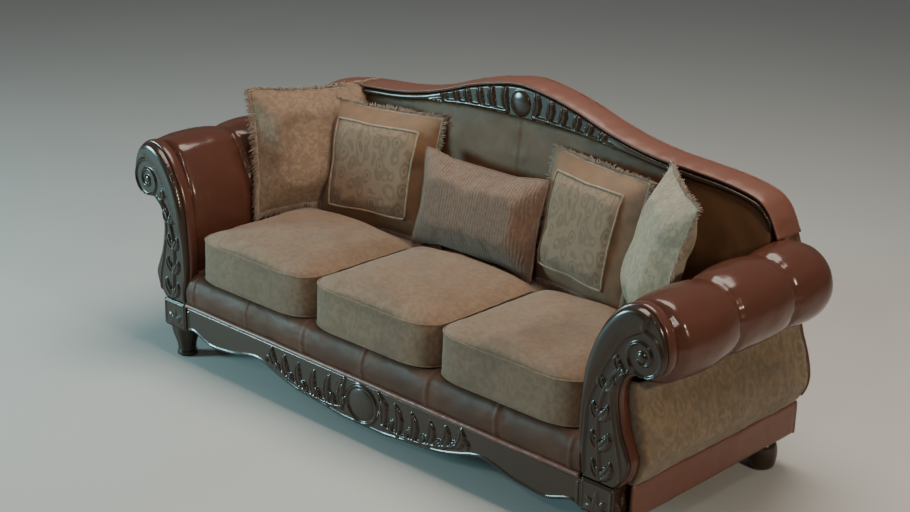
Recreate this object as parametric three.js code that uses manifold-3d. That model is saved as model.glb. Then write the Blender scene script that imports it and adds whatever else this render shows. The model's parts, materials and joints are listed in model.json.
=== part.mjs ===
// A worn camelback sofa: carved wood apron, crest rail and arm facings, leather upholstery over a
// hardwood frame, rolled arms, three loose seat cushions and five scatter pillows.
// Millimetres.  +X runs along the length, -Y is the front, +Z is up, and the floor is z = 0.
import * as THREE from 'three';
import { mergeVertices } from 'three/addons/utils/BufferGeometryUtils.js';
import Module from 'manifold-3d';

const wasm = await Module();
wasm.setup();

// ---- driving dimensions -------------------------------------------------------------------
const GAP = 0.4;                    // clearance between pieces that touch
const FRONT = -445;                 // front faces of the legs
const REAR = 445;                   // rear face of the back band
const FACING = { front: -441, back: -385, bottom: 222, outerFoot: 1031 };
const VOLUTE = { x: 1105, z: 647, r: 60, proud: 4 };
const LEG = { inner: 912, outer: 1038, back: -335, bottom: 121, top: 221.6, footX: 985, footY: -384 };
const FOOT = { sides: 20, backX: 1000, backY: 367, backRadius: 48, centreRadius: 36 };
const BAND = { bottom: 113, top: 223.6, outer: 1064, thick: 12 };
const RAIL = { bottom: 132, top: 220, thick: 30, frontY: -414.5, backY: 425, sideX: 1040 };
const CROSS_RAIL = { x: 290, width: 44, height: 34 };
const CORNER_BLOCK = { reach: 78, height: 56, lift: 8 };
const POST = { x: 893, width: 28, front: 346, back: 394, top: 808 };
const UPRIGHT = { inner: 318, outer: 358, top: 902 };
const STUMP = { inner: 988, outer: 1018, back: -337, top: 652, foot: 222.2, rearDepth: 48, inset: 2 };
const ARM_RAIL = { outer: 1112, height: 28 };
const SPRING = { count: 4, pitch: 420, wire: 2.4, swing: 26, waves: 8, level: 228, crown: 20, inset: 3 };
const APRON = { front: -440, thick: 24, top: 219.6, halfLength: 911.4 };
const WELT = { y: -435, z: 221, r: 9 };
const DECK = { front: -330, back: 250, top: 337, thick: 72, halfLength: 911, sideGap: 6 };
const BORDER = { foot: [-436, 221.8], belly: [-445, 322], brow: -400 };
const DUST = { halfLength: 1048, thick: 2.6 };
const CUSHION = { pitch: 575, width: 571, front: -428, back: 246, bottom: 337.6, top: 505 };
const CUSHION_CORNER = { bow: 140, turn: 95, ease: 8 };
const OUTER_CUSHION_EDGE = 874;     // outer side of the end cushions, close to the arms
const ROLL = { x: 1088, z: 668, r: 122, padding: 38 };
const ARM = { front: -384.4, back: 350, insideX: 912, bottom: 225, wall: 40 };
const OUTSIDE = { back: 420, thick: 9, top: 540, bottom: 224.4, returnDepth: 8 };
const BACK = { padFront: 250, padBottom: 337.6, padThick: 32, lean: 0.095, sideGap: 1.2 };
const CREST = { front: 290, back: 345.6 };
const CAP = { front: 296, back: 412, thick: 14, halfLength: 1040, endTop: 788 };
const TOP_RAIL = { front: 346, back: 402, height: 76 };
const OUTSIDE_BACK = { back: 441, thick: 8, lean: -0.034, bottom: 224.4 };
const CUSHION_REAR = { from: 60, to: 118, level: 462 };  // where pillows have crushed the cushions
const PILLOW_FLOOR = 510;           // corner pillows stand on the crown of the seat cushions
const SUNK_FLOOR = 472;             // the others sink behind it
const REACH = 1300;                 // farther than any piece from the middle
const PILLOW_EDGE = { thin: 0.14, waist: 0.05 };

// ---- materials ----------------------------------------------------------------------------
function finish(color, roughness, metalness = 0) {
  return new THREE.MeshStandardMaterial({ color, roughness, metalness });
}
const carvedWood = finish(0x2a1a12, 0.35);
const armLeather = finish(0x4a2d22, 0.28);
const trimLeather = finish(0x6b4434, 0.38);
const seatFabric = finish(0x96785f, 0.9);
const armFabric = finish(0x8a704d, 0.85);
const pleatFabric = finish(0x6e4a38, 0.8);
const borderFabric = finish(0x7a5136, 0.8);
const frameWood = finish(0xb58f62, 0.8);
const springSteel = finish(0x8c8f92, 0.4, 0.9);
const dustFabric = finish(0x1c1c1c, 0.95);

const sofa = new THREE.Group();

function add(name, geometry, material) {
  const mesh = new THREE.Mesh(geometry, material);
  mesh.name = name;
  sofa.add(mesh);
}

// ---- solids, cuts and mirror images ---------------------------------------------------------
function welded(geometry) {
  const bare = geometry.clone();
  bare.deleteAttribute('normal');
  bare.deleteAttribute('uv');
  return mergeVertices(bare, 1e-3);
}

function toSolid(geometry) {
  const body = welded(geometry);
  return new wasm.Manifold(new wasm.Mesh({
    numProp: 3,
    vertProperties: new Float32Array(body.attributes.position.array),
    triVerts: new Uint32Array(body.index.array),
  }));
}

function toGeometry(solid) {
  const mesh = solid.getMesh();
  const geometry = new THREE.BufferGeometry();
  geometry.setAttribute('position', new THREE.BufferAttribute(mesh.vertProperties, 3));
  geometry.setIndex(new THREE.BufferAttribute(mesh.triVerts, 1));
  return geometry;
}

// Cuts each tool out of a piece, with the clearance on every side of the tool.
function cutClear(geometry, ...tools) {
  let piece = toSolid(geometry);
  for (const tool of tools) {
    for (const axis of [0, 1, 2]) {
      for (const side of [-GAP, GAP]) {
        const shift = [0, 0, 0];
        shift[axis] = side;
        piece = piece.subtract(toSolid(tool.clone().translate(...shift)));
      }
    }
  }
  return toGeometry(piece);
}

function joined(first, ...others) {
  return toGeometry(others.reduce((body, other) => body.add(toSolid(other)), toSolid(first)));
}

function mirrored(geometry) {
  const copy = welded(geometry).scale(-1, 1, 1);
  const corners = copy.index.array;
  for (let i = 0; i < corners.length; i += 3) {
    [corners[i], corners[i + 1]] = [corners[i + 1], corners[i]];
  }
  return copy;
}

function addPair(name, rightHand, material) {
  add(`${name}_left`, mirrored(rightHand), material);
  add(`${name}_right`, rightHand, material);
}

// ---- shapes -----------------------------------------------------------------------------------
const points = (pairs) => pairs.map(([a, b]) => new THREE.Vector2(a, b));

function polygon(pairs) {
  return new THREE.Shape(points(pairs));
}

function extrude(shape, depth, curveSegments = 4) {
  return new THREE.ExtrudeGeometry(shape, { depth, curveSegments, bevelEnabled: false });
}

// An outline drawn in x and z, given its depth from one y to the other.
function plate(shape, yFront, yBack, curveSegments) {
  return extrude(shape, yBack - yFront, curveSegments).rotateX(Math.PI / 2).translate(0, yBack, 0);
}

// An outline drawn in y and z, run along the length from one x to the other.
function bar(shape, xFrom, xTo, curveSegments) {
  const turn = new THREE.Matrix4().makeBasis(
    new THREE.Vector3(0, 1, 0), new THREE.Vector3(0, 0, 1), new THREE.Vector3(1, 0, 0));
  return extrude(shape, xTo - xFrom, curveSegments).applyMatrix4(turn).translate(xFrom, 0, 0);
}

function box(x0, x1, y0, y1, z0, z1) {
  return new THREE.BoxGeometry(x1 - x0, y1 - y0, z1 - z0)
    .translate((x0 + x1) / 2, (y0 + y1) / 2, (z0 + z1) / 2);
}

// Leans a piece so that y grows with height above the given level.
function leaned(geometry, slope, level) {
  const shear = new THREE.Matrix4().makeShear(0, 0, 0, 0, 0, slope);
  return geometry.translate(0, 0, -level).applyMatrix4(shear).translate(0, 0, level);
}

// A curve through hand-chosen points, mirrored about x = 0 and read from left to right.
function symmetric(pairs) {
  const right = pairs.filter(([x]) => x > 0);
  const left = right.map(([x, z]) => [-x, z]).reverse();
  return points([...left, ...pairs.filter(([x]) => x === 0), ...right]);
}

// The part of a closed shape between an upper and a lower curve.
function between(upper, lower) {
  const shape = new THREE.Shape();
  shape.moveTo(upper[0].x, upper[0].y);
  shape.splineThru(upper.slice(1));
  const back = [...lower].reverse();
  shape.lineTo(back[0].x, back[0].y);
  shape.splineThru(back.slice(1));
  shape.closePath();
  return shape;
}

const lowered = (curve, drop) => curve.map((p) => new THREE.Vector2(p.x, p.y - drop));

// Points on a circle between two angles in degrees.
function arc(x, y, r, from, to, steps) {
  return Array.from({ length: steps + 1 }, (_, i) => {
    const angle = THREE.MathUtils.degToRad(from + ((to - from) * i) / steps);
    return [x + r * Math.cos(angle), y + r * Math.sin(angle)];
  });
}

// Points along a smooth curve through hand-chosen ones.
function smooth(pairs, steps) {
  return new THREE.SplineCurve(points(pairs)).getPoints(steps).map((p) => [p.x, p.y]);
}

// ---- outlines ---------------------------------------------------------------------------------
// Height of the camelback's top edge, from the hump at the middle to the bent-down ends.
const CAMELBACK = [
  [0, 1077], [120, 1062], [240, 1033], [360, 994], [480, 964], [600, 945], [720, 936],
  [840, 925], [930, 908], [975, 888], [1010, 850], [CAP.halfLength, CAP.endTop],
];
const camelback = symmetric(CAMELBACK);

const CREST_LOWER = [
  [0, 956], [170, 953], [310, 946], [425, 934], [546, 917], [640, 906], [760, 899],
  [860, 891], [940, 871], [985, 838], [1012, 796],
];

// Scrolled arm facing: up the inside edge, over the shoulder, round the volute, down the outside.
const FACING_EDGE = [
  [917, 250], [903, 320], [900, 390], [906, 478], [913, 556], [930, 618], [953, 674],
  [988, 728], [1024, 764], [1060, 782], [1098, 785], [1140, 764], [1170, 722], [1184, 660],
  [1168, 612], [1128, 587], [1081, 588], [1042, 564], [1024, 498], [1041, 405], [1066, 345],
  [1079, 308], [1066, 262],
];

// Lower edge of the carved apron from the middle out to the leg.
const APRON_LOWER = [
  [0, 62], [100, 62], [200, 73], [300, 82], [360, 91], [430, 109], [490, 128], [530, 134],
  [584, 126], [640, 111], [700, 103], [780, 98], [840, 117], [880, 128], [APRON.halfLength, 120],
];

// Outside of the arm's fabric panel, from the base band up to the seam under the roll.
const OUTSIDE_ARM = [
  [1064, OUTSIDE.bottom], [1086, 259], [1104, 302], [1102, 349], [1086, 414], [1070, 453], [1058, 495],
  [1063, OUTSIDE.top],
];

// ---- wood trim --------------------------------------------------------------------------------
const facingShape = new THREE.Shape();
facingShape.moveTo(LEG.inner, FACING.bottom);
facingShape.splineThru(points(FACING_EDGE));
facingShape.lineTo(FACING.outerFoot, FACING.bottom);
facingShape.closePath();
const facingPlate = plate(facingShape, FACING.front, FACING.back, 3);
const volute = new THREE.CylinderGeometry(VOLUTE.r, VOLUTE.r, 2 * VOLUTE.proud, 24)
  .translate(VOLUTE.x, FACING.front, VOLUTE.z);
const facing = joined(facingPlate, volute);
addPair('arm_facing', facing, carvedWood);

// A leg is a square corner block with a tapered foot under it.
const FOOT_PROFILE = [[0, 0], [31, 0], [36, 8], [33, 24], [36, 50], [44, 80], [50, 100],
  [50, LEG.bottom + 1], [0, LEG.bottom + 1]];
const frontFoot = new THREE.LatheGeometry(points(FOOT_PROFILE), FOOT.sides)
  .rotateX(Math.PI / 2)
  .translate(LEG.footX, LEG.footY, 0);
const legBlock = box(LEG.inner, LEG.outer, FRONT, LEG.back, LEG.bottom, LEG.top);
const frontLeg = joined(legBlock, frontFoot);
addPair('front_leg', frontLeg, carvedWood);

const BACK_FOOT_HEIGHT = RAIL.bottom - GAP;
function bunFoot(radius, height) {
  const profile = [[0, 0], [0.66, 0], [0.92, 0.16], [1, 0.4], [0.9, 0.66], [0.6, 0.8],
    [0.7, 0.9], [0.7, 1], [0, 1]].map(([r, z]) => [r * radius, z * height]);
  return new THREE.LatheGeometry(points(profile), FOOT.sides).rotateX(Math.PI / 2);
}
const backFoot = bunFoot(FOOT.backRadius, BACK_FOOT_HEIGHT).translate(FOOT.backX, FOOT.backY, 0);
const centreFoot = bunFoot(FOOT.centreRadius, BACK_FOOT_HEIGHT);
addPair('back_foot', backFoot, carvedWood);
add('centre_foot', centreFoot, carvedWood);

const welt = bar(
  new THREE.Shape().absarc(WELT.y, WELT.z, WELT.r, 0, 2 * Math.PI, false),
  -APRON.halfLength, APRON.halfLength, 12);
add('apron_welt', welt, trimLeather);

const apronTop = symmetric(APRON_LOWER).map((p) => new THREE.Vector2(p.x, APRON.top));
const apronPlate = plate(
  between(apronTop, symmetric(APRON_LOWER)), APRON.front, APRON.front + APRON.thick, 2);
add('apron', cutClear(apronPlate, welt), carvedWood);

const crestUpper = lowered(symmetric(CAMELBACK.slice(0, -1)), CAP.thick + GAP);
const crest = plate(between(crestUpper, symmetric(CREST_LOWER)), CREST.front, CREST.back, 2);
const leftHalf = box(-REACH, -GAP / 2, -REACH, REACH, 0, REACH);
addPair('crest_rail', cutClear(crest, leftHalf), carvedWood);

// ---- hardwood frame ---------------------------------------------------------------------------
const railSpan = RAIL.sideX - RAIL.thick - GAP;
const frontRailBack = RAIL.frontY + RAIL.thick;
const backRailFront = RAIL.backY - RAIL.thick;
const frontRail = box(
  -LEG.inner + GAP, LEG.inner - GAP, RAIL.frontY, frontRailBack, RAIL.bottom, RAIL.top);
add('front_seat_rail', frontRail, frameWood);
const backRail = box(-railSpan, railSpan, backRailFront, RAIL.backY, RAIL.bottom, RAIL.top);
add('back_seat_rail', backRail, frameWood);
const sideRail = box(
  RAIL.sideX - RAIL.thick, RAIL.sideX, LEG.back + GAP, RAIL.backY, RAIL.bottom, RAIL.top);
addPair('side_seat_rail', sideRail, frameWood);

const crossRail = box(
  CROSS_RAIL.x - CROSS_RAIL.width / 2, CROSS_RAIL.x + CROSS_RAIL.width / 2,
  frontRailBack + GAP, backRailFront - GAP, RAIL.bottom, RAIL.bottom + CROSS_RAIL.height);
addPair('cross_rail', crossRail, frameWood);

function cornerBlock(x, y, towardY) {
  const { reach, height, lift } = CORNER_BLOCK;
  const shape = polygon(towardY > 0
    ? [[x, y], [x, y + reach], [x - reach, y]]
    : [[x, y], [x - reach, y], [x, y - reach]]);
  return extrude(shape, height).translate(0, 0, RAIL.bottom + lift);
}
addPair('rear_corner_block', cornerBlock(railSpan, backRailFront - GAP, -1), frameWood);
addPair('front_corner_block', cornerBlock(LEG.inner - GAP, frontRailBack + GAP, 1), frameWood);

const topRailShape = between(
  lowered(symmetric(CAMELBACK.slice(0, -3)), CAP.thick + GAP),
  lowered(symmetric(CAMELBACK.slice(0, -3)), CAP.thick + TOP_RAIL.height));
add('back_top_rail', plate(topRailShape, TOP_RAIL.front, TOP_RAIL.back, 2), frameWood);

const postInner = POST.x - POST.width / 2;
const postOuter = POST.x + POST.width / 2;
const postAbove = box(postInner, postOuter, POST.front, POST.back, RAIL.top + GAP, POST.top);
const postBelow = box(
  postInner, postOuter, POST.front, backRailFront - GAP, RAIL.bottom, RAIL.top + 2 * GAP);
addPair('back_post', joined(postAbove, postBelow), frameWood);
const upright = box(
  UPRIGHT.inner, UPRIGHT.outer, POST.front, POST.back, RAIL.top + GAP, UPRIGHT.top);
addPair('back_upright', upright, frameWood);

const stumpFront = FACING.back + GAP;
const stumpRear = ARM.back - STUMP.inset;
const armStump = box(
  STUMP.inner, STUMP.outer, stumpFront, STUMP.back, STUMP.foot, STUMP.top);
addPair('arm_stump', armStump, frameWood);
const rearStump = box(
  STUMP.inner, STUMP.outer, stumpRear - STUMP.rearDepth, stumpRear, RAIL.top + GAP, STUMP.top);
addPair('arm_rear_stump', rearStump, frameWood);
const armTopRail = box(
  STUMP.inner, ARM_RAIL.outer, stumpFront, stumpRear, STUMP.top + GAP, STUMP.top + ARM_RAIL.height);
addPair('arm_top_rail', armTopRail, frameWood);

// ---- seat springs, deck and base covers --------------------------------------------------------
class SinuousSpring extends THREE.Curve {
  getPoint(t) {
    const start = frontRailBack + SPRING.inset;
    const end = backRailFront - SPRING.inset;
    return new THREE.Vector3(
      SPRING.swing * Math.sin(2 * Math.PI * SPRING.waves * t),
      start + (end - start) * t,
      SPRING.level + SPRING.crown * Math.sin(Math.PI * t));
  }
}

function spring() {
  const wire = new THREE.Shape().absarc(0, 0, SPRING.wire, 0, 2 * Math.PI, false);
  return new THREE.ExtrudeGeometry(wire, {
    extrudePath: new SinuousSpring(), steps: SPRING.waves * 6, curveSegments: 3, bevelEnabled: false,
  });
}
for (let i = 0; i < SPRING.count; i += 1) {
  const x = (i - (SPRING.count - 1) / 2) * SPRING.pitch;
  add(`seat_spring_${i + 1}`, spring().translate(x, 0, 0), springSteel);
}

// The padded front border rises from the welt, slightly rounded, to the foot of the cushions.
const borderShape = new THREE.Shape();
borderShape.moveTo(...BORDER.foot);
borderShape.quadraticCurveTo(...BORDER.belly, BORDER.brow, DECK.top);
borderShape.lineTo(DECK.front - GAP, DECK.top);
borderShape.lineTo(DECK.front - GAP, DECK.top - DECK.thick);
borderShape.lineTo(frontRailBack, DECK.top - DECK.thick);
borderShape.lineTo(frontRailBack, BORDER.foot[1]);
borderShape.closePath();
const border = bar(borderShape, -DECK.halfLength, DECK.halfLength, 8);
add('seat_border', cutClear(border, welt, facing, mirrored(facing)), armLeather);
const deckEnd = DECK.halfLength - DECK.sideGap;
const deck = box(-deckEnd, deckEnd, DECK.front, DECK.back, DECK.top - DECK.thick, DECK.top);
add('seat_deck', deck, dustFabric);

const bandInside = REAR - BAND.thick;
const sideBand = box(
  BAND.outer - BAND.thick, BAND.outer, FACING.back + GAP, bandInside - GAP, BAND.bottom, BAND.top);
addPair('side_band', sideBand, trimLeather);
const backBand = box(-BAND.outer, BAND.outer, bandInside, REAR, BAND.bottom, BAND.top);
add('back_band', backBand, trimLeather);

const dustTop = RAIL.bottom - GAP;
const dust = box(
  -DUST.halfLength, DUST.halfLength, RAIL.frontY, bandInside - GAP, dustTop - DUST.thick, dustTop);
add('dust_cover', cutClear(
  dust, frontLeg, mirrored(frontLeg), backFoot, mirrored(backFoot), centreFoot), dustFabric);

// ---- arms -------------------------------------------------------------------------------------
const panelOutside = smooth(OUTSIDE_ARM, 16);
const panelInside = panelOutside.map(([x, z]) => [x - OUTSIDE.thick, z]).reverse();
const panel = plate(polygon([...panelOutside, ...panelInside]), FACING.back + GAP, OUTSIDE.back);
// At the front the cover turns in behind the facing and is tacked to the stump.
const frontReturn = plate(polygon([
  ...panelOutside, [STUMP.outer + GAP, OUTSIDE.top], [STUMP.outer + GAP, OUTSIDE.bottom],
]), FACING.back + GAP, FACING.back + OUTSIDE.returnDepth);
const outsideArm = joined(panel, frontReturn);
addPair('outside_arm', outsideArm, armFabric);

// The arm pad is a C in section: up the inside of the arm, over the roll and round under it.
const ARM_RISE = [
  [ARM.insideX, 320], [913, 390], [915, 470], [923, 556], [943, 632], [972, 696], [1008, 760],
];
const insideRise = smooth(ARM_RISE, 14);
const rollOutside = arc(ROLL.x, ROLL.z, ROLL.r, 128, -90, 24);
const wallX = ARM.insideX + ARM.wall;
const insideReturn = smooth([[984, 590], [966, 530], [955, 450], [wallX, 380]], 6);
const armPadPlate = plate(polygon([
  [ARM.insideX, ARM.bottom], ...insideRise, ...rollOutside,
  ...arc(ROLL.x, ROLL.z, ROLL.r - ROLL.padding, -90, 196, 16), ...insideReturn,
  [wallX, ARM.bottom],
]), ARM.front, ARM.back);
const armPad = cutClear(armPadPlate, outsideArm, armTopRail, armStump, rearStump);
addPair('arm_pad', armPad, armLeather);

// The roll ends at the back in a low dome.
const END_DOME = [[0, 0], [ROLL.r - 2, 0], [117, 22], [104, 46], [80, 64], [44, 74], [0, 78]];
const armEnd = new THREE.LatheGeometry(points(END_DOME), 28)
  .translate(ROLL.x, ARM.back + GAP, ROLL.z);
addPair('arm_end_cap', armEnd, armLeather);

// ---- back -------------------------------------------------------------------------------------
// The leather band over the camelback comes down at both ends to sit on the rolled arms.
const capPlate = plate(
  between(camelback, lowered(camelback, CAP.thick)), CAP.front, CAP.back, 2);
const cap = cutClear(capPlate, armPad, mirrored(armPad), armEnd, mirrored(armEnd));
addPair('back_cap', cutClear(cap, leftHalf), trimLeather);

const padTop = lowered(symmetric(CREST_LOWER), GAP);
const padSide = ARM_RISE.map(([x, z]) => [x - BACK.sideGap, z]).reverse();
const padFoot = ARM.insideX - BACK.sideGap;
const insideShape = new THREE.Shape();
insideShape.moveTo(padTop[0].x, padTop[0].y);
insideShape.splineThru(padTop.slice(1));
insideShape.lineTo(padSide[0][0], padSide[0][1]);
insideShape.splineThru(points(padSide.slice(1)));
insideShape.lineTo(padFoot, BACK.padBottom);
insideShape.lineTo(-padFoot, BACK.padBottom);
insideShape.splineThru(points(padSide.map(([x, z]) => [-x, z])).reverse());
insideShape.closePath();
const insideBackPlate = leaned(
  plate(insideShape, BACK.padFront, BACK.padFront + BACK.padThick, 2),
  BACK.lean, BACK.padBottom);
const insideBack = cutClear(insideBackPlate, armPad, mirrored(armPad), crest);
add('inside_back', insideBack, armLeather);

const rearShape = new THREE.Shape();
const rearTop = lowered(symmetric(CAMELBACK.slice(0, -1)), CAP.thick + GAP);
const REAR_EDGE = [
  [1022, 790], [1050, 700], [1057, 540], [1058, 495], [1070, 453], [1086, 414], [1102, 349],
  [1104, 302], [1086, 259],
];
rearShape.moveTo(rearTop[0].x, rearTop[0].y);
rearShape.splineThru(rearTop.slice(1));
rearShape.splineThru(points(REAR_EDGE));
rearShape.lineTo(BAND.outer, OUTSIDE_BACK.bottom);
rearShape.lineTo(-BAND.outer, OUTSIDE_BACK.bottom);
rearShape.splineThru(points(REAR_EDGE.map(([x, z]) => [-x, z])).reverse());
rearShape.closePath();
const rearPanel = leaned(
  plate(rearShape, OUTSIDE_BACK.back - OUTSIDE_BACK.thick, OUTSIDE_BACK.back, 2),
  OUTSIDE_BACK.lean, BAND.top);
add('outside_back', cutClear(
  rearPanel, armEnd, mirrored(armEnd), armPad, mirrored(armPad)), armFabric);

// ---- seat cushions ----------------------------------------------------------------------------
// Flat at the back, bowed corners at the front.
function cushion(xLeft, xRight) {
  const { bow, turn, ease } = CUSHION_CORNER;
  const shape = new THREE.Shape();
  shape.moveTo(xLeft, CUSHION.back);
  shape.lineTo(xLeft, CUSHION.front + turn);
  shape.quadraticCurveTo(xLeft, CUSHION.front + ease, xLeft + bow, CUSHION.front);
  shape.lineTo(xRight - bow, CUSHION.front);
  shape.quadraticCurveTo(xRight, CUSHION.front + ease, xRight, CUSHION.front + turn);
  shape.lineTo(xRight, CUSHION.back);
  shape.closePath();
  return extrude(shape, CUSHION.top - CUSHION.bottom, 5).translate(0, 0, CUSHION.bottom);
}
const half = CUSHION.width / 2;
const crushedRoom = bar(polygon([
  [CUSHION_REAR.from, CUSHION.top], [CUSHION_REAR.to, CUSHION_REAR.level],
  [REACH, CUSHION_REAR.level], [REACH, REACH], [CUSHION_REAR.from, REACH],
]), -REACH, REACH);
const centreCushion = cutClear(cushion(-half, half), crushedRoom);
const sideCushion = cutClear(
  cushion(CUSHION.pitch - half, OUTER_CUSHION_EDGE), crushedRoom);
add('seat_cushion_centre', centreCushion, seatFabric);
addPair('seat_cushion', sideCushion, seatFabric);

// ---- scatter pillows --------------------------------------------------------------------------
// A pillow swells from thin sewn edges; it stands on its lower edge, leans back and is turned.
function pillow({ x, y, floor, yaw, lean, width, height, thick, flare = 0 }) {
  const { thin, waist } = PILLOW_EDGE;
  const body = new THREE.BoxGeometry(2, 2, 2, 8, 1, 8);
  const place = body.attributes.position;
  for (let i = 0; i < place.count; i += 1) {
    const u = place.getX(i);
    const w = place.getZ(i);
    const swell = thin + (1 - thin) * Math.sqrt((1 - u ** 4) * (1 - w ** 4));
    place.setXYZ(
      i,
      u * (width / 2) * (1 - waist * (1 - w * w)) * (1 + (flare * (w + 1)) / 2),
      place.getY(i) * (thick / 2) * swell,
      (w * (1 - waist * (1 - u * u)) + 1) * (height / 2));
  }
  return body
    .rotateX(THREE.MathUtils.degToRad(-lean))
    .rotateZ(THREE.MathUtils.degToRad(yaw))
    .translate(x, y, floor);
}

const PILLOWS = {
  lumbar: {
    x: -66, y: 130, floor: SUNK_FLOOR, yaw: 0, lean: 13, width: 550, height: 325, thick: 120,
  },
  framedLeft: {
    x: -573, y: 140, floor: SUNK_FLOOR, yaw: 12, lean: 14,
    width: 440, height: 425, thick: 116, flare: 0.1,
  },
  framedRight: {
    x: 368, y: 160, floor: SUNK_FLOOR, yaw: -11, lean: 13,
    width: 440, height: 425, thick: 116, flare: 0.06,
  },
  cornerLeft: {
    x: -791, y: 90, floor: PILLOW_FLOOR, yaw: 64, lean: 13, width: 440, height: 430, thick: 110,
  },
  cornerRight: {
    x: 705, y: 42, floor: PILLOW_FLOOR, yaw: -43, lean: 17, width: 430, height: 440, thick: 116,
  },
};

// The room that the back and the filled-in arms take, which pillows are pressed against.
const backRoom = leaned(
  box(-CAP.halfLength, CAP.halfLength, BACK.padFront, REAR, BACK.padBottom, REACH),
  BACK.lean, BACK.padBottom);
const armRoom = plate(polygon([
  [ARM.insideX, ARM.bottom], ...insideRise, ...rollOutside, [ROLL.x, ARM.bottom],
]), ARM.front, ARM.back);
const seats = [centreCushion, sideCushion, mirrored(sideCushion)];
const surround = [backRoom, armRoom, mirrored(armRoom), crest, cap, ...seats];
const lumbar = pillow(PILLOWS.lumbar);
const cornerLeft = pillow(PILLOWS.cornerLeft);
const cornerRight = pillow(PILLOWS.cornerRight);
add('lumbar_pillow', cutClear(lumbar, ...surround), pleatFabric);
add('corner_pillow_left', cutClear(cornerLeft, ...surround), seatFabric);
add('corner_pillow_right', cutClear(cornerRight, ...surround), seatFabric);
add('framed_pillow_left', cutClear(
  pillow(PILLOWS.framedLeft), ...surround, lumbar, cornerLeft), borderFabric);
add('framed_pillow_right', cutClear(
  pillow(PILLOWS.framedRight), ...surround, lumbar, cornerRight), borderFabric);

export default sofa;
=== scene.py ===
"""A worn camelback sofa with leather arms, carved wood, loose cloth cushions and five pillows.

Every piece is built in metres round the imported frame: +X along the length, -Y the front, +Z up.
"""

import json
import math

import bmesh
import bpy
import numpy as np
from bpy.props import FloatProperty, FloatVectorProperty, PointerProperty
from mathutils import Matrix, Vector
from mathutils.bvhtree import BVHTree
from mathutils.geometry import delaunay_2d_cdt

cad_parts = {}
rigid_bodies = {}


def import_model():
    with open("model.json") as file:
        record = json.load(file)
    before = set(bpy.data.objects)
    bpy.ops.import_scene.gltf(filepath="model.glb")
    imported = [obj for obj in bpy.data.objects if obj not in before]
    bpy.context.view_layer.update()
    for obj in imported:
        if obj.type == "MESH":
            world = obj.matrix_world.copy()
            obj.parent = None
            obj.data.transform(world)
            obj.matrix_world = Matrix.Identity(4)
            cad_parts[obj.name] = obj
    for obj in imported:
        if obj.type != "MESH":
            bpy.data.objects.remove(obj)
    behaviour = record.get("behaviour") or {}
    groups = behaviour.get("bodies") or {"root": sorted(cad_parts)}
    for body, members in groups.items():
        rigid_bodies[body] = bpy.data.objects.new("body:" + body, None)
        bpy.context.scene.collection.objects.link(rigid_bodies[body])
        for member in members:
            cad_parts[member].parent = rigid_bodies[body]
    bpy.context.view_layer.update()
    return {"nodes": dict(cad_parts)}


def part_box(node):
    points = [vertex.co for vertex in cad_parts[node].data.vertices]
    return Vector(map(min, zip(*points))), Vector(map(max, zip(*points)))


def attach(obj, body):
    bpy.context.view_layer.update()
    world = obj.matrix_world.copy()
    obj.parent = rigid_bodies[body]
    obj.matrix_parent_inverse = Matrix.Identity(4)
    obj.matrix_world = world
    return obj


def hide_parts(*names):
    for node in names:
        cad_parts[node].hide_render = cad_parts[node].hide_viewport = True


bl_info = {
    "name": "Camelback sofa",
    "version": (1, 0, 0),
    "blender": (4, 5, 0),
    "location": "3D View > Sidebar > Sofa",
    "description": "Builds the leather, cloth and carved wood of a worn camelback sofa",
    "category": "Object",
}

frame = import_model()

SIDES = {"left": -1, "right": 1}
BLACK = (0.0, 0.0, 0.0)


# ---- what a user may change -------------------------------------------------------------------
def length(name, default, description):
    return FloatProperty(
        name=name, description=description, default=default, min=0.0005, unit="LENGTH")


def shade(name, default, description):
    return FloatVectorProperty(
        name=name, description=description, default=default, subtype="COLOR", size=3, min=0, max=1)


class SofaSizes(bpy.types.PropertyGroup):
    """Sizes of the soft and carved detail."""

    carving: length("Carving depth", 0.010, "How far the carved leaves stand out")
    puff: length("Arm puffs", 0.013, "How far each puff of the rolled arms swells")
    crown: length("Cushion crown", 0.048, "How far a seat cushion swells above its seam")
    welt: length("Welt radius", 0.0036, "Radius of the covered cord in the seams")
    fringe: length("Fringe", 0.026, "Length of the fringe on the pillows")
    sag: length("Wear dents", 0.004, "Depth of the dents that use has left in soft parts")


class SofaColours(bpy.types.PropertyGroup):
    """Base colours of the finishes."""

    hide: shade("Arm leather", (0.076, 0.050, 0.033), "Dark leather of the arms")
    trim: shade("Trim leather", (0.098, 0.062, 0.040), "Leather of the bands and the bead")
    wood: shade("Carved wood", (0.020, 0.014, 0.010), "Dark glossy wood")
    seat: shade("Seat cloth", (0.215, 0.126, 0.068), "Mottled cloth of the seat cushions")
    arm: shade("Outside cloth", (0.235, 0.158, 0.082), "Cloth outside the arms and on the rear")
    pleat: shade("Pleated cloth", (0.190, 0.098, 0.062), "Cloth of the low middle pillow")
    border: shade("Border cloth", (0.240, 0.112, 0.046), "Borders of the square pillows")
    floor: shade("Floor", (0.50, 0.495, 0.48), "Pale studio floor")


# ---- lines and noise --------------------------------------------------------------------------
def mm(marks):
    """Listed marks in millimetres, as metres."""
    return np.array(marks, float) / 1000


def unit(ways):
    """The same vectors with a length of 1."""
    return ways / np.maximum(np.linalg.norm(ways, axis=1, keepdims=True), 1e-9)


def rays(turn):
    """Unit vectors at angles in radians."""
    return np.column_stack([np.cos(turn), np.sin(turn)])


def section(flat, y):
    """Points in x and z, placed at y."""
    return np.column_stack([flat[:, 0], np.broadcast_to(y, len(flat)), flat[:, 1]])


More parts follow.
